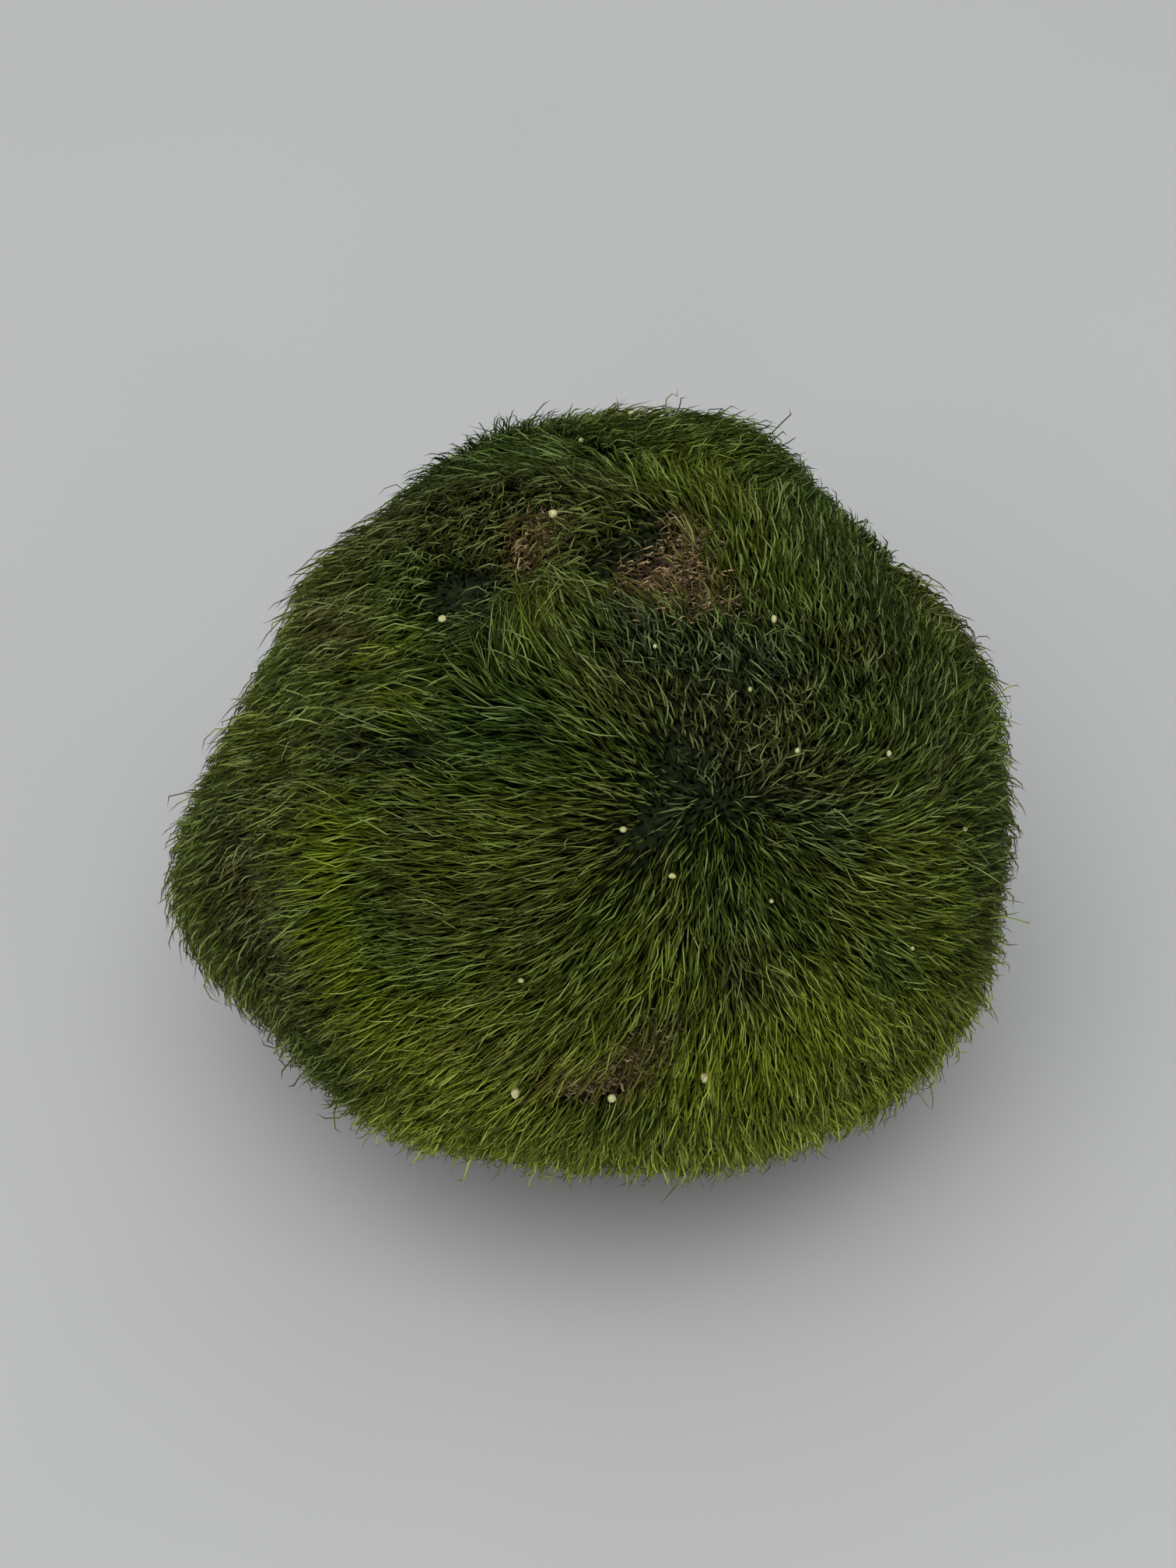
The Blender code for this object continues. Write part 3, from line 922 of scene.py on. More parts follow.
@dataclass
class Felt:
    """The felted inside of the ball, which the filaments grow from, and what it tells them."""

    name: str = "felt"
    depth: float = 1.3 * MM  # from the skin down to the felt
    low_depth: float = 1.8 * MM  # how much deeper it lies near the foot
    fullness: float = 0.9 * MM  # how much less deep where the moss stands out past the skin
    spareness: float = 1.3 * MM  # how much deeper where the moss stays within it
    foot_depth: float = 1.5 * MM
    overhang: float = 1.8 * MM  # from a filament's root to where it shows
    smoothings: int = 4
    smoothing: float = 0.5
    lowest_growth: float = 15.0 * MM  # below this the filaments lie flatter, towards the foot
    finish: FeltFinish = field(default_factory=FeltFinish)

    # Where the moss is fuller, sparer, more upright, tangled, short or bare.
    full: Patch = patch(((-19, 15, -12, 22, 3, 0.9), (20, 19, 28.5, 10, 3.2, 1)))
    spare: Patch = patch(((21.5, -20.5, 24.5, -18.5, 3.6, 1),))
    crest: Patch = patch(
        seen=((-14, 8, -12, 4, 1.6, 0.4), (-18.6, 0.5, -19, -12, 1.7, 0.75), (-19, -12, -15.5, -19, 1.8, 0.5),
              (-5.2, 10.5, -3.4, 12.5, 1.3, 0.6), (26.5, -8, 26.5, -9.5, 1.5, 0.5)))
    tangle: Patch = patch(
        seen=((3, 10.5, 10, 9.5, 3, 0.75), (10, 4, 15.5, 7.5, 4, 0.6), (13, -1, 18, 1, 3.6, 0.45),
              (6, 1, 7, 3, 2.2, 0.5), (-13, 15.5, -8, 16, 3, 0.7), (-11, 19.5, -2, 19.5, 3.2, 0.5),
              (-5.5, 10, -2, 11, 1.8, 0.4), (-16, 4.5, -18.5, 1, 1.6, 0.7), (-24, -6, -22, -12, 2.6, 0.5),
              (17, 8, 20, 10, 3, 0.45), (-3, 18, 2, 20, 2.6, 0.5), (8, 13, 10, 12, 1.6, 0.8),
              (10, -12, 13, -15, 2, 0.4)),
        hidden=((150, 30, 6, 0.7), (-120, 20, 7, 0.6), (100, 20, 6, 0.5), (180, -10, 6, 0.4),
                (-165, 28, 4, 0.8)))
    short: Patch = patch(
        seen=((11, 15, 20, 12, 6.5, 0.8), (9, 4, 20, 4, 4.5, 0.8), (-14, 17, 6, 23, 4.5, 0.45),
              (13, -3, 17, -9, 4, 0.7), (4, 11, 9, 8.5, 3, 0.6), (25, 6, 26, 1, 4, 0.5),
              (12, 24, 22, 17, 4, 0.6)),
        hidden=((150, 35, 10, 0.8), (-140, 20, 9, 0.7), (100, 30, 8, 0.6), (-100, -5, 7, 0.5)))
    bare: Patch = patch(
        seen=((3.6, -3.7, 5.2, -2.8, 0.9, 0.75), (5.8, -0.2, 7, 2.8, 1, 0.45),
              (-11.2, 14.3, -8.8, 15, 1.3, 1), (1.2, 17.2, 3.2, 17.5, 0.9, 0.6),
              (-18.4, 0.8, -18.8, 1.4, 0.6, 0.5), (-13, 3.3, -11, 2.8, 0.8, 0.8), (9, 8.2, 9.2, 7, 0.7, 0.5),
              (9, 12, 10.6, 10.8, 0.8, 0.5)),
        hidden=((-165, 28, 1.6, 0.8), (148, 22, 0.9, 0.6)))
    whorl: Spot = SKIN.band_seen((4.6, -3.2), (7.0, 2.2), 2.8)
    peaks: tuple[Peak, ...] = (
        Peak(-3.2, 13.8, SKIN.band_seen((-6.5, 9.0), (-1.5, 9.5), 1.7), 0.65),
        Peak(-16.4, 1.2, SKIN.spot_seen(-17.6, -1.2, 1.5), 0.7),
        Peak(-13.0, 11.0, SKIN.spot_seen(-15.2, 9.8, 1.3), 0.5),
        Peak(14.2, -15.4, SKIN.spot_seen(13.6, -13.6, 1.2), 0.5),
        Peak(-10.8, 14.4, SKIN.spot_seen(-10.0, 14.6, 2.8), -1.15),
        Peak(4.4, -3.3, SKIN.spot_seen(4.4, -3.3, 2.4), -0.5),
        Peak(-12.6, 3.1, SKIN.band_seen((-13.2, 3.3), (-11.2, 2.8), 1.8), -0.6),
        Peak(9.4, -13.6, SKIN.spot_seen(9.4, -13.4, 1.8), -0.5),
    )

    # The share of the filaments, of the long ones and of their length that each kind of place costs.
    SPARSER = {"bare": 0.9, "whorl": 0.25, "rust": 0.88, "under": 0.5}
    SPARSER_LONG = {"short": 0.75, "whorl": 0.5}
    SHORTER = {"whorl": 0.30, "low": 0.20, "rust": 0.3, "bare": 0.45}
    SHORT_LOSS = 0.30  # how much of their length the short ones lose
    SHORT_UPRIGHT = 0.45  # how upright short filaments stand
    SHORT_TANGLE = 0.35  # how tangled they are
    UNDER_SLOPE = 1.6  # how fast the underside sets in as the felt turns down
    UNDER_START = 0.6  # and how late

    def lowness(self, points: np.ndarray) -> np.ndarray:
        """How near each point is to the foot, from 0 to 1."""
        return np.clip((self.lowest_growth - points[:, 2]) / self.lowest_growth, 0.0, 1.0)

    def depth_at(self, points: np.ndarray) -> np.ndarray:
        """How deep under the skin the felt lies at each point."""
        swell = self.fullness * self.full.share(points) - self.spareness * self.spare.share(points)
        return self.depth + self.low_depth * self.lowness(points) - swell

    def build(self) -> bpy.types.Object:
        """Makes the felt.

        Returns:
            The felt as a finished object.
        """
        shape = bmesh.new()
        shape.from_mesh(SKIN.mesh)
        for _ in range(self.smoothings):
            bmesh.ops.smooth_vert(shape, verts=shape.verts[:], factor=self.smoothing, use_axis_x=True,
                                  use_axis_y=True, use_axis_z=True)
        depths = self.depth_at(np.array([vert.co for vert in shape.verts]))
        for vert, depth in zip(shape.verts, depths):
            vert.co -= (vert.co - SKIN.middle).normalized() * depth
            vert.co.z = max(vert.co.z, self.foot_depth)
        mesh = mesh_from(shape, self.name)
        mesh.shade_smooth()
        mesh.materials.append(self.finish.material())
        return added(self.name, mesh)

    def ground(self, felt: bpy.types.Object) -> bpy.types.Mesh:
        """A finer copy of the felt that tells the coats how to grow where.

        Args:
            felt: The felt.

        Returns:
            The copy, with the direction out and the lie, and the shares of all that varies over the ball.
        """
        shape = bmesh.new()
        shape.from_mesh(felt.data)
        bmesh.ops.subdivide_edges(shape, edges=shape.edges[:], cuts=1, use_grid_fill=True)
        mesh = mesh_from(shape, "ground")
        points, normals = (np.empty(len(mesh.vertices) * 3, np.float32) for _ in range(2))
        mesh.vertices.foreach_get("co", points)
        mesh.vertices.foreach_get("normal", normals)
        points, normals = points.reshape(-1, 3).astype(float), normals.reshape(-1, 3).astype(float)
        outward = points - np.array(SKIN.middle)
        outward /= np.linalg.norm(outward, axis=1)[:, None]
        lie = Comb().lie(outward)
        skin = points + outward * self.depth_at(points)[:, None]
        shown = skin + lie * self.overhang
        share = {
            "bare": self.bare.share(skin), "whorl": self.whorl.share(skin), "low": self.lowness(points),
            "rust": PATCHES["rust"].share(skin), "short": self.short.share(shown),
            "under": np.clip(-self.UNDER_SLOPE * normals[:, 2] - self.UNDER_START, 0.0, 1.0),
        }
        cover = math.prod(1.0 - loss * share[kind] for kind, loss in self.SPARSER.items())
        tall = 1.0
        for kind, loss in self.SHORTER.items():
            tall = tall - loss * share[kind]
        fields = {
            "out": normals, "lie": lie, "cover": cover, "low": share["low"],
            "matted": Comb.flat(np.tile([1.0, 0.0, 0.0], (len(points), 1)), outward),
            "long_cover": math.prod(
                (1.0 - loss * share[kind] for kind, loss in self.SPARSER_LONG.items()), start=cover),
            "tall": tall * (1.0 - self.SHORT_LOSS * share["short"]),
            "upright": np.clip(self.crest.share(shown) + self.SHORT_UPRIGHT * share["short"], 0.0, 1.0),
            "tangle": np.clip(self.tangle.share(shown) + self.SHORT_TANGLE * share["short"], 0.0, 1.0),
            "pull": sum(peak.pull(skin) for peak in self.peaks),
        }
        for name, values in fields.items():
            store(mesh, name, values)
        for name, spots in PATCHES.items():
            store(mesh, name, spots.share(shown))
        return mesh


@dataclass(frozen=True)
class Thread:
    """A straight filament of length and thickness one, rings of points and a tip, which the growth bends."""

    rings: tuple[tuple[float, float], ...]  # how far along, and how thick
    waves: float = 1.0  # how many waves it can be crimped into
    sides: int = 3
    slimness: float = 0.1  # of the helper alone
    cell_start: float = 0.12  # where the filament's strip lies in its cell of the map
    cell_width: float = 0.76
    cell_height: float = 0.8
    foot_cell: tuple[tuple[float, float], ...] = ((0.1, 0.02), (0.2, 0.02), (0.15, 0.08))

    def build(self, name: str) -> bpy.types.Object:
        """The filament as a helper object.

        Args:
            name: The object's name.

        Returns:
            The object, with attributes reach and ring and a map named cell.
        """
        shape = bmesh.new()
        reach = shape.verts.layers.float.new("reach")
        offset = shape.verts.layers.float_vector.new("ring")
        rows = []
        for along, thick in self.rings:
            row = []
            for side in range(self.sides):
                turn = 2.0 * math.pi * side / self.sides
                place = self.slimness * math.cos(turn), self.slimness * math.sin(turn), along
                vert = shape.verts.new(place)
                vert[reach] = along
                vert[offset] = (thick * math.cos(turn), thick * math.sin(turn), 0.0)
                row.append(vert)
            rows.append(row)
        tip = shape.verts.new((0.0, 0.0, 1.0))
        tip[reach] = 1.0
        cell = shape.loops.layers.uv.new("cell")
        foot = shape.faces.new(rows[0][::-1])
        for loop, corner in zip(foot.loops, self.foot_cell):
            loop[cell].uv = corner
        levels = [along for along, _ in self.rings] + [1.0]
        for step, row in enumerate(rows):
            lower, upper = (self.cell_start + self.cell_height * level for level in levels[step:step + 2])
            for side in range(self.sides):
                after = (side + 1) % self.sides
                left, right = (self.cell_start + self.cell_width * edge / self.sides
                               for edge in (side, side + 1))
                if row is rows[-1]:
                    face = shape.faces.new((row[side], row[after], tip))
                    corners = ((left, lower), (right, lower), ((left + right) / 2.0, upper))
                else:
                    above = rows[step + 1]
                    face = shape.faces.new((row[side], row[after], above[after], above[side]))
                    corners = ((left, lower), (right, lower), (right, upper), (left, upper))
                for loop, corner in zip(face.loops, corners):
                    loop[cell].uv = corner
        for face in shape.faces:
            face.smooth = True
        return added(name, mesh_from(shape, name))


LONG_THREAD = Thread(((0.0, 1.0), (0.22, 1.0), (0.44, 1.0), (0.64, 0.95), (0.84, 0.80)), 1.5)
WAVY_THREAD = Thread(((0.0, 1.0), (0.28, 1.0), (0.54, 1.0), (0.79, 0.85)), 1.2)
FINE_THREAD = Thread(((0.0, 1.0), (0.38, 1.0), (0.72, 0.90)))
BENT_THREAD = Thread(((0.0, 1.0), (0.55, 0.95)))
SPIKE_THREAD = Thread(((0.0, 1.0),))


class Draw(IntEnum):
    """The seeds of the random draws that a filament is made by."""

    WISP = 7
    JITTER = 8
    LEAN = 9
    BEND = 10
    LENGTH = 11
    WANDER = 12
    TONE = 13
    THICKNESS = 14
    CRIMP = 15


class Growth(Tree):
    """A Geometry Nodes tree under construction, with a named input for each of its settings."""

    KINDS = {float: "NodeSocketFloat", int: "NodeSocketInt", bpy.types.Object: "NodeSocketObject"}

    def __init__(self, name: str, settings: Setting) -> None:
        """Makes the tree with its inputs and its output.

        Args:
            name: The tree's name.
            settings: What each input will be given, whose kind the input takes.
        """
        super().__init__(bpy.data.node_groups.new(name, "GeometryNodeTree"))
        face = self.nodes.interface
        face.new_socket("Felt", in_out="INPUT", socket_type="NodeSocketGeometry")
        self.identifiers = {
            label: face.new_socket(label, in_out="INPUT", socket_type=self.KINDS[type(setting)]).identifier
            for label, setting in settings.items()}
        face.new_socket("Moss", in_out="OUTPUT", socket_type="NodeSocketGeometry")
        entry = self.node("NodeGroupInput")
        self.given = {socket.name: Wire(self, socket) for socket in entry.outputs if socket.name}

    def stored(self, geometry: Wire, name: str, value: Any, kind: str, domain: str = "POINT") -> Wire:
        """Stores a value on a geometry under a name.

        Args:
            geometry: The geometry.
            name: The attribute's name.
            value: Its value or wire.
            kind: Its data type.
            domain: What each value belongs to.

        Returns:
            The geometry with the attribute.
        """
        settings = {"data_type": kind, "domain": domain}
        values = {"Geometry": geometry, "Name": name, "Value": value}
        return self.wire("GeometryNodeStoreNamedAttribute", settings, values)

    def number(self, name: str) -> Wire:
        """The stored number of this name."""
        return self.wire("GeometryNodeInputNamedAttribute", {"data_type": "FLOAT"}, {"Name": name})

    def vector(self, name: str) -> Wire:
        """The stored vector of this name."""
        return self.wire("GeometryNodeInputNamedAttribute", {"data_type": "FLOAT_VECTOR"}, {"Name": name})

    def random(self, low: Any, high: Any, seed: Draw) -> Wire:
        """A random number for each point, between two bounds, or a vector between two vectors."""
        settings = {"data_type": "FLOAT_VECTOR" if isinstance(low, tuple) else "FLOAT"}
        return self.wire("FunctionNodeRandomValue", settings, {"Min": low, "Max": high, "Seed": seed})

    def any_way(self, seed: Draw) -> Wire:
        """A random vector for each point, with each part from -1 to 1."""
        return self.random((-1.0, -1.0, -1.0), (1.0, 1.0, 1.0), seed)

    def drift(self, at: Wire, size: float, detail: float) -> Wire:
        """A vector of smooth noise of a size in metres, with each part about from -0.5 to 0.5."""
        values = {"Vector": at, "Scale": 1.0 / size, "Detail": detail}
        return self.wire("ShaderNodeTexNoise", {"noise_dimensions": "3D"}, values, "Color") - (0.5, 0.5, 0.5)


@dataclass(frozen=True)
class Habit:
    """How the filaments of all coats grow: what wisps, tangles and upright places change in them."""

    most_wisps: float = 4.0e6  # a square metre, before their spacing thins them
    swirl_size: float = 3 * MM
    wisp_turn: float = 0.08
    tangled_wisp_turn: float = 0.6
    tangled_jitter: float = 0.55
    wisp_lean: float = math.radians(5.0)
    upright_lean: float = 0.55
    tangled_lean: float = 0.25
    low_lean: float = math.radians(18.0)
    upright_bend: float = 0.4
    low_bend: float = 0.5
    tangled_bend: float = 0.5
    least_bend: float = 0.12
    wisp_length: float = 0.08
    tangled_length: float = 0.22
    tangled_gather: float = 0.4
    tangled_crimp: float = 1.3
    thinnest: float = 0.8
    thickest: float = 1.15
    gather_late: float = 1.3  # above 1, the wisps close nearer the tips
    drift_size: float = 1.1 * MM
    clearance: float = 1.5  # from the floor to the lowest filaments, in their radii
    uneven_floor: float = 0.25 * MM
    spare_cells: float = 1.04  # cells in the map for each filament


HABIT = Habit()


@dataclass
class Coat:
    """One coat of filaments over the felt."""

    name: str
    finish: Finish
    thread: Thread
    count: int
    length: tuple[float, float]
    radius: float
    lean: tuple[float, float] = (22.0, 42.0)  # degrees from the felt's normal at the root
    bend: tuple[float, float] = (52.0, 78.0)  # degrees more at the tip
    wisp: float = 0.38 * MM  # least distance between the wisps' middles
    gather: float = 0.12  # how far a tip is drawn to its wisp's middle
    swirl: float = 0.20
    jitter: float = 0.26
    wander: float = 0.10
    crimp: float = 0.03
    drift: float = 0.15 * MM
    cover: str = "cover"
    lie: str = "lie"
    seed: int = 1

    KEPT = ("root", "tone", "reach", "wisp", "sharp_face", "material_index", BAKE_MAP, *PATCHES)

    def settings(self, thread: bpy.types.Object, ground: bpy.types.Mesh) -> Setting:
        """What the growth is given.

        Args:
            thread: The straight filament.
            ground: What the felt tells the coats.

        Returns:
            The value of each input of the tree.
        """
        lean, bend = ([math.radians(angle) for angle in angles] for angles in (self.lean, self.bend))
        return {
            "Thread": thread, "Density": self.count / self.covered_area(ground), "Shortest": self.length[0],
            "Longest": self.length[1], "Radius": self.radius, "Least Lean": lean[0], "Most Lean": lean[1],
            "Least Bend": bend[0], "Most Bend": bend[1], "Wisp Spacing": self.wisp, "Gather": self.gather,
            "Swirl": self.swirl, "Jitter": self.jitter, "Wander": self.wander, "Crimp": self.crimp,
            "Drift": self.drift, "Cells": float(math.ceil(math.sqrt(self.count * HABIT.spare_cells))),
            "Seed": self.seed,
        }

    def grow(self, tree: Growth) -> None:
        """Fills the growth's tree.

        Args:
            tree: The tree, so far with its inputs alone.
        """
        unit = tree.wire("GeometryNodeObjectInfo", {}, {"Object": tree.given["Thread"]}, "Geometry")
        moss = tree.wire("GeometryNodeInstanceOnPoints", {}, {"Points": self.rooted(tree), "Instance": unit})
        moss = tree.wire("GeometryNodeRealizeInstances", {}, {"Geometry": moss})
        moss = self.mapped(tree, self.bent(tree, moss))
        dressed = {"Geometry": moss, "Material": self.finish.material()}
        tree.node("NodeGroupOutput", {}, {0: tree.wire("GeometryNodeSetMaterial", {}, dressed)})

    def rooted(self, tree: Growth) -> Wire:
        """Points on the felt, each with how its filament grows.

        Args:
            tree: The tree.

        Returns:
            The points.
        """
        given, felt, seed = tree.given, tree.given["Felt"], tree.given["Seed"]
        density = given["Density"] * tree.number(self.cover).at_least(0.0)
        points = tree.wire("GeometryNodeDistributePointsOnFaces", {"distribute_method": "RANDOM"},
                           {"Mesh": felt, "Density": density, "Seed": seed})
        wisps = tree.wire("GeometryNodeDistributePointsOnFaces", {"distribute_method": "POISSON"},
                          {"Mesh": felt, "Distance Min": given["Wisp Spacing"],
                           "Density Max": HABIT.most_wisps, "Seed": seed})
        here = tree.wire("GeometryNodeInputPosition")
        nearest = tree.wire("GeometryNodeSampleNearest", {"domain": "POINT"},
                            {"Geometry": wisps, "Sample Position": here})
        wisp_place, wisp_way = (
            tree.wire("GeometryNodeSampleIndex", {"data_type": "FLOAT_VECTOR", "domain": "POINT"},
                      {"Geometry": wisps, "Value": value, "Index": nearest})
            for value in (here, tree.any_way(Draw.WISP)))
        out, tangle, low = tree.vector("out").unit(), tree.number("tangle"), tree.number("low")
        upright = tree.number("upright").at_most(1.0)
        lie = tree.vector(self.lie) + tree.drift(here, HABIT.swirl_size, 2.0) * given["Swirl"] * 2.0
        lie = lie + wisp_way * (tangle * HABIT.tangled_wisp_turn + HABIT.wisp_turn)
        lie = lie + tree.any_way(Draw.JITTER) * (given["Jitter"] + tangle * HABIT.tangled_jitter)
        lean = tree.random(given["Least Lean"], given["Most Lean"], Draw.LEAN)
        lean = lean + wisp_way.axis("X") * HABIT.wisp_lean
        lean = lean * (1.0 - upright * HABIT.upright_lean) * (1.0 - tangle * HABIT.tangled_lean)
        bend = tree.random(given["Least Bend"], given["Most Bend"], Draw.BEND)
        bend = bend * (1.0 - upright * HABIT.upright_bend) * (1.0 - low * HABIT.low_bend)
        length = tree.random(given["Shortest"], given["Longest"], Draw.LENGTH) * tree.number("tall")
        length = length * (wisp_way.axis("Y") * HABIT.wisp_length + 1.0)
        gather = (wisp_place - here) * given["Gather"] * (1.0 - tangle * HABIT.tangled_gather)
        gather = gather + tree.vector("pull")
        vectors = {
            "root": here, "out": out, "lie": (lie - out * lie.dot(out)).unit(),
            "gather": gather - out * gather.dot(out), "wander": tree.any_way(Draw.WANDER) * given["Wander"],
            "crimp": tree.any_way(Draw.CRIMP) * (given["Crimp"] * (tangle * HABIT.tangled_crimp + 1.0)),
        }
        numbers = {
            "lean": lean + low * HABIT.low_lean,
            "bend": bend + tangle * HABIT.tangled_bend + HABIT.least_bend,
            "long": length * (1.0 - tangle * HABIT.tangled_length),
            "thick": given["Radius"] * tree.random(HABIT.thinnest, HABIT.thickest, Draw.THICKNESS),
            "tone": tree.random(0.0, 1.0, Draw.TONE), "wisp": wisp_way.axis("Z") * 0.5 + 0.5,
            "number": tree.wire("GeometryNodeInputIndex"),
        }
        for kind, values in (("FLOAT_VECTOR", vectors), ("FLOAT", numbers)):
            for name, value in values.items():
                points = tree.stored(points, name, value, kind)
        return points

    def bent(self, tree: Growth, moss: Wire) -> Wire:
        """Bends each straight filament from its root over along its lie.

        Args:
            tree: The tree.
            moss: The realized filaments.

        Returns:
            The bent filaments.
        """
        reach, lean, bend, long, thick, tone = map(
            tree.number, ("reach", "lean", "bend", "long", "thick", "tone"))
        ring, root, out, lie, gather, wander, crimp = map(
            tree.vector, ("ring", "root", "out", "lie", "gather", "wander", "crimp"))
        angle = lean + bend * reach
        rise = (angle.sine() - lean.sine()) / bend
        run = (lean.cosine() - angle.cosine()) / bend
        waves = reach * (2.0 * math.pi * self.thread.waves)
        curve = wander * (reach * math.pi).sine() + crimp * waves.sine()
        middle = root + (out * rise + lie * run + curve) * long + gather * reach ** HABIT.gather_late
        middle = middle + tree.drift(middle, HABIT.drift_size, 1.0) * (reach * tree.given["Drift"])
        floor = thick * HABIT.clearance + tone * HABIT.uneven_floor
        raised = tree.wire("ShaderNodeCombineXYZ", {}, {"Z": (floor - middle.axis("Z")).at_least(0.0)})
        side = out.cross(lie)
        over = lie * angle.cosine() - out * angle.sine()
        place = middle + raised + (side * ring.axis("X") + over * ring.axis("Y")) * thick
        return tree.wire("GeometryNodeSetPosition", {}, {"Geometry": moss, "Position": place})

    def mapped(self, tree: Growth, moss: Wire) -> Wire:
        """Gives each filament a cell of its own in the map.

        Args:
            tree: The tree.
            moss: The filaments.

        Returns:
            The filaments with their map.
        """
        number, cells = tree.number("number"), tree.given["Cells"]
        row = tree.wire("ShaderNodeMath", {"operation": "FLOOR"}, {0: (number + 0.5) / cells})
        corner = tree.wire("ShaderNodeCombineXYZ", {}, {"X": number - row * cells, "Y": row})
        place = (tree.vector("cell") + corner) * (1.0 / cells)
        return tree.stored(moss, BAKE_MAP, place, "FLOAT2", "CORNER")

    def build(self, ground: bpy.types.Mesh) -> bpy.types.Object:
        """Grows the coat.

        Args:
            ground: What the felt tells the coats.

        Returns:
            The coat as a plain mesh object.
        """
        thread = self.thread.build(self.name + "_thread")
        settings = self.settings(thread, ground)
        tree = Growth(self.name + "_growth", settings)
        self.grow(tree)
        coat = added(self.name, ground.copy())
        growth = coat.modifiers.new("growth", "NODES")
        growth.node_group = tree.nodes
        for name, setting in settings.items():
            growth[tree.identifiers[name]] = setting
        mesh = bpy.data.meshes.new_from_object(coat.evaluated_get(bpy.context.evaluated_depsgraph_get()))
        coat.modifiers.remove(growth)
        coat.data = mesh
        mesh.name = self.name
        helpers = [found.name for found in mesh.attributes
                   if not (found.is_required or found.is_internal or found.name in self.KEPT)]
        for name in helpers:
            mesh.attributes.remove(mesh.attributes[name])
        bpy.data.objects.remove(thread)
        return coat

    def covered_area(self, mesh: bpy.types.Mesh) -> float:
        """The felt's area, each face counted by how far this coat covers it.

        Args:
            mesh: What the felt tells the coats.

        Returns:
            The area in square metres.
        """
        cover = np.empty(len(mesh.vertices), np.float32)
        mesh.attributes[self.cover].data.foreach_get("value", cover)
        mesh.calc_loop_triangles()
        corners = np.empty(len(mesh.loop_triangles) * 3, np.int32)
        mesh.loop_triangles.foreach_get("vertices", corners)
        areas = np.empty(len(mesh.loop_triangles), np.float32)
        mesh.loop_triangles.foreach_get("area", areas)
        return float((areas * cover[corners].reshape(-1, 3).mean(1)).sum())


@dataclass
class Grains:
    """Pale grains caught among the tips."""

    name: str = "pale_grains"
    finish: GrainFinish = field(default_factory=GrainFinish)
    start: float = 0.9 * MM  # how far above the skin a grain is let down from
    step: float = 0.25  # how far at a time, as a share of its radius
    hold: float = 0.5  # how near a filament it comes to, as a share of its radius
    deepest: float = 2.0 * MM
    flattest: float = 0.75  # least and most stretch along each axis
    longest: float = 1.15
    bumps: float = 0.25  # how uneven its surface is
    bumpiness: float = 1.6  # how many bumps it has across
    bump_shift: float = 9.0  # how far apart in the noise the grains' bumps may be
    seed: int = 5
    seen: tuple[tuple[float, float, float], ...] = (
        (-2.5, 19.8, 0.58), (13.3, 12.3, 0.54), (15.0, 2.9, 0.45), (21.5, 2.7, 0.42), (6.0, -6.0, 0.50),
        (2.5, -2.7, 0.42), (-5.2, -21.5, 0.74), (1.7, -21.9, 0.72), (8.3, -20.4, 0.70), (26.9, -2.7, 0.38),
        (-4.8, -13.5, 0.40), (23.1, -11.2, 0.38), (-10.4, 12.3, 0.50), (11.6, 7.3, 0.34), (4.8, 10.4, 0.34),
        (-0.5, 25.0, 0.36), (13.1, -7.8, 0.32),
    )  # millimetres right and up of the ball's middle in the picture, and across
    hidden: tuple[tuple[float, float, float], ...] = (
        (150, 20, 0.45), (-160, 5, 0.50), (170, 50, 0.40), (110, -10, 0.45), (-115, 15, 0.42),
        (-135, -20, 0.5), (135, 35, 0.38), (-175, -15, 0.45), (95, 25, 0.4), (-95, -15, 0.42),
        (160, -25, 0.5), (-150, 40, 0.4),
    )  # azimuth and elevation in degrees, and millimetres across

    def settled(self, place: Vector, inward: Vector, radius: float, moss: list[BVHTree]) -> Vector:
        """The place that a grain comes to when it is let down until a filament holds it.

        Args:
            place: The grain's place on the skin.
            inward: The unit direction in which it is let down.
            radius: Its radius.
            moss: The coats of filaments that carry it.

        Returns:
            The grain's middle.
        """
        depth = -self.start
        while depth < self.deepest:
            middle = place + inward * depth
            if min(coat.find_nearest(middle)[3] for coat in moss) <= radius * self.hold:
                break
            depth += radius * self.step
        return place + inward * depth

    def build(self, coats: list[bpy.types.Object]) -> bpy.types.Object:
        """The grains as one object of small uneven pebbles.

        Args:
            coats: The coats of filaments that they lie on.

        Returns:
            The grains.
        """
        moss = [BVHTree.FromObject(coat, bpy.context.evaluated_depsgraph_get()) for coat in coats]
        draw = random.Random(self.seed)
        shape = bmesh.new()
        places = [(SKIN.seen(right, up), -VIEW.towards, size * MM) for right, up, size in self.seen]
        places += [(SKIN.at(azimuth, elevation), -direction(azimuth, elevation), size * MM)
                   for azimuth, elevation, size in self.hidden]
        for place, inward, size in places:
            middle = self.settled(place, inward, size / 2.0, moss)
            grain = bmesh.ops.create_icosphere(shape, subdivisions=2, radius=size / 2.0)["verts"]
            stretch = Vector([draw.uniform(self.flattest, self.longest) for _ in range(3)])
            shift = Vector([draw.uniform(0.0, self.bump_shift) for _ in range(3)])
            for vert in grain:
                swell = 1.0 + self.bumps * noise.noise(vert.co / size * self.bumpiness + shift)
                vert.co = middle + vert.co * stretch * swell
        mesh = mesh_from(shape, self.name)
        mesh.shade_smooth()
        mesh.materials.append(self.finish.material())
        return added(self.name, mesh)


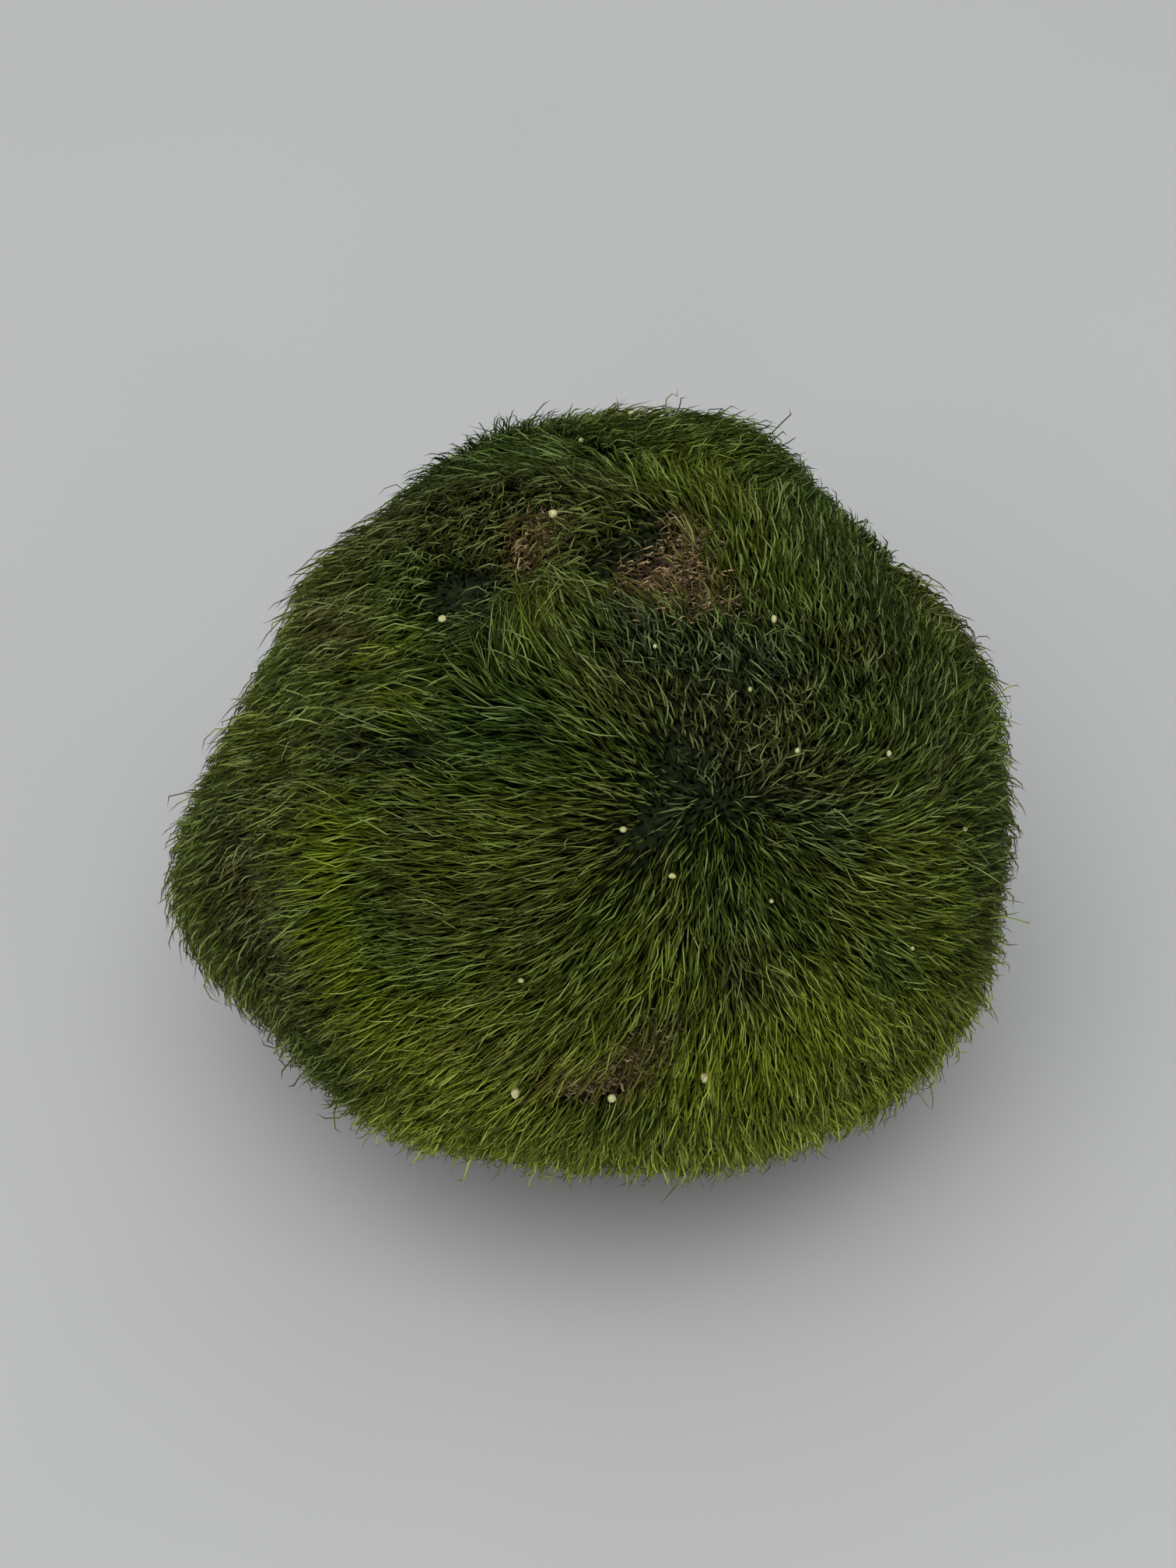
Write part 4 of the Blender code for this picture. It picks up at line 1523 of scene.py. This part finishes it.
@dataclass
class Studio:
    """The plain pale floor, the soft light and the camera."""

    floor_width: float = 3.0
    key_size: float = 0.95
    key_place: Vector = Vector((-0.14, -0.42, 0.88))
    key_power: float = 5.6
    sky: Colour = (0.94, 0.96, 1.0)
    sky_strength: float = 0.48

    def build(self) -> None:
        """Sets the stage."""
        shape = bmesh.new()
        bmesh.ops.create_grid(shape, x_segments=2, y_segments=2, size=self.floor_width / 2.0)
        floor = added("floor", mesh_from(shape, "floor"))
        floor.data.materials.append(FloorFinish().material())
        world = bpy.data.worlds.new("studio")
        world.use_nodes = True
        sky = {"Color": (*self.sky, 1.0), "Strength": self.sky_strength}
        Tree(world.node_tree).fill(world.node_tree.nodes["Background"], sky)
        bpy.context.scene.world = world
        lamp = bpy.data.lights.new("key", "AREA")
        lamp.shape = "SQUARE"
        lamp.size = self.key_size
        lamp.energy = self.key_power
        key = added("key", lamp)
        key.location = self.key_place
        key.rotation_euler = (VIEW.aim - self.key_place).to_track_quat("-Z", "Y").to_euler()
        bpy.context.scene.view_settings.view_transform = "Standard"
        VIEW.place_camera()


# The level and shade tint of each coat are painted shade: the deeper the coat, the darker and greener it is
# painted.
COATS = (
    Coat("under_coat", MossFinish("under_moss", level=0.55, shade_tint=(0.84, 1.0, 0.6)), SPIKE_THREAD, 32000,
         (1.7 * MM, 2.8 * MM), 0.13 * MM, lean=(20.0, 50.0), bend=(25.0, 50.0), seed=21),
    Coat("main_coat", MossFinish("main_moss", level=0.80, shade_tint=(0.90, 1.0, 0.75)), BENT_THREAD, 19000,
         (2.8 * MM, 4.1 * MM), 0.080 * MM, seed=23),
    Coat("middle_coat", MossFinish("middle_moss", level=0.94), FINE_THREAD, 12000,
         (3.0 * MM, 4.4 * MM), 0.064 * MM, jitter=0.30, seed=24),
    Coat("top_coat_a", MossFinish("top_moss_a", level=1.08), FINE_THREAD, 12000,
         (3.2 * MM, 4.7 * MM), 0.051 * MM, gather=0.15, jitter=0.34, crimp=0.05, seed=25),
    Coat("top_coat_b", MossFinish("top_moss_b", level=1.22), WAVY_THREAD, 8800,
         (3.8 * MM, 5.6 * MM), 0.051 * MM, lean=(34.0, 52.0), bend=(40.0, 60.0), gather=0.10, jitter=0.32,
         crimp=0.045, cover="long_cover", seed=26),
    Coat("stray_filaments", MossFinish("stray_moss", level=1.3), LONG_THREAD, 160,
         (3.8 * MM, 5.8 * MM), 0.07 * MM, lean=(12.0, 55.0), bend=(10.0, 70.0), gather=0.0, jitter=0.9,
         wander=0.16, crimp=0.08, seed=27),
    Coat("withered_tufts", WitheredFinish(), FINE_THREAD, 2400,
         (0.9 * MM, 2.2 * MM), 0.085 * MM, lean=(30.0, 70.0), bend=(5.0, 60.0), gather=0.3, jitter=0.45,
         wander=0.20, crimp=0.16, cover="rust", lie="matted", seed=28),
)


def main() -> None:
    """Builds the ball and its studio."""
    logging.basicConfig(level=logging.INFO, format="%(name)s: %(message)s")
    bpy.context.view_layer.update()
    felt = Felt()
    body = felt.build()
    ground = felt.ground(body)
    coats = [coat.build(ground) for coat in COATS]
    pieces = [body, *coats, Grains().build(coats)]
    for piece in pieces:
        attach(piece, BODY)
        triangles = sum(len(face.vertices) - 2 for face in piece.data.polygons)
        logger.info("%s: %d triangles", piece.name, triangles)
    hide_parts(NODE)
    Studio().build()


if __name__ == "__main__":
    main()
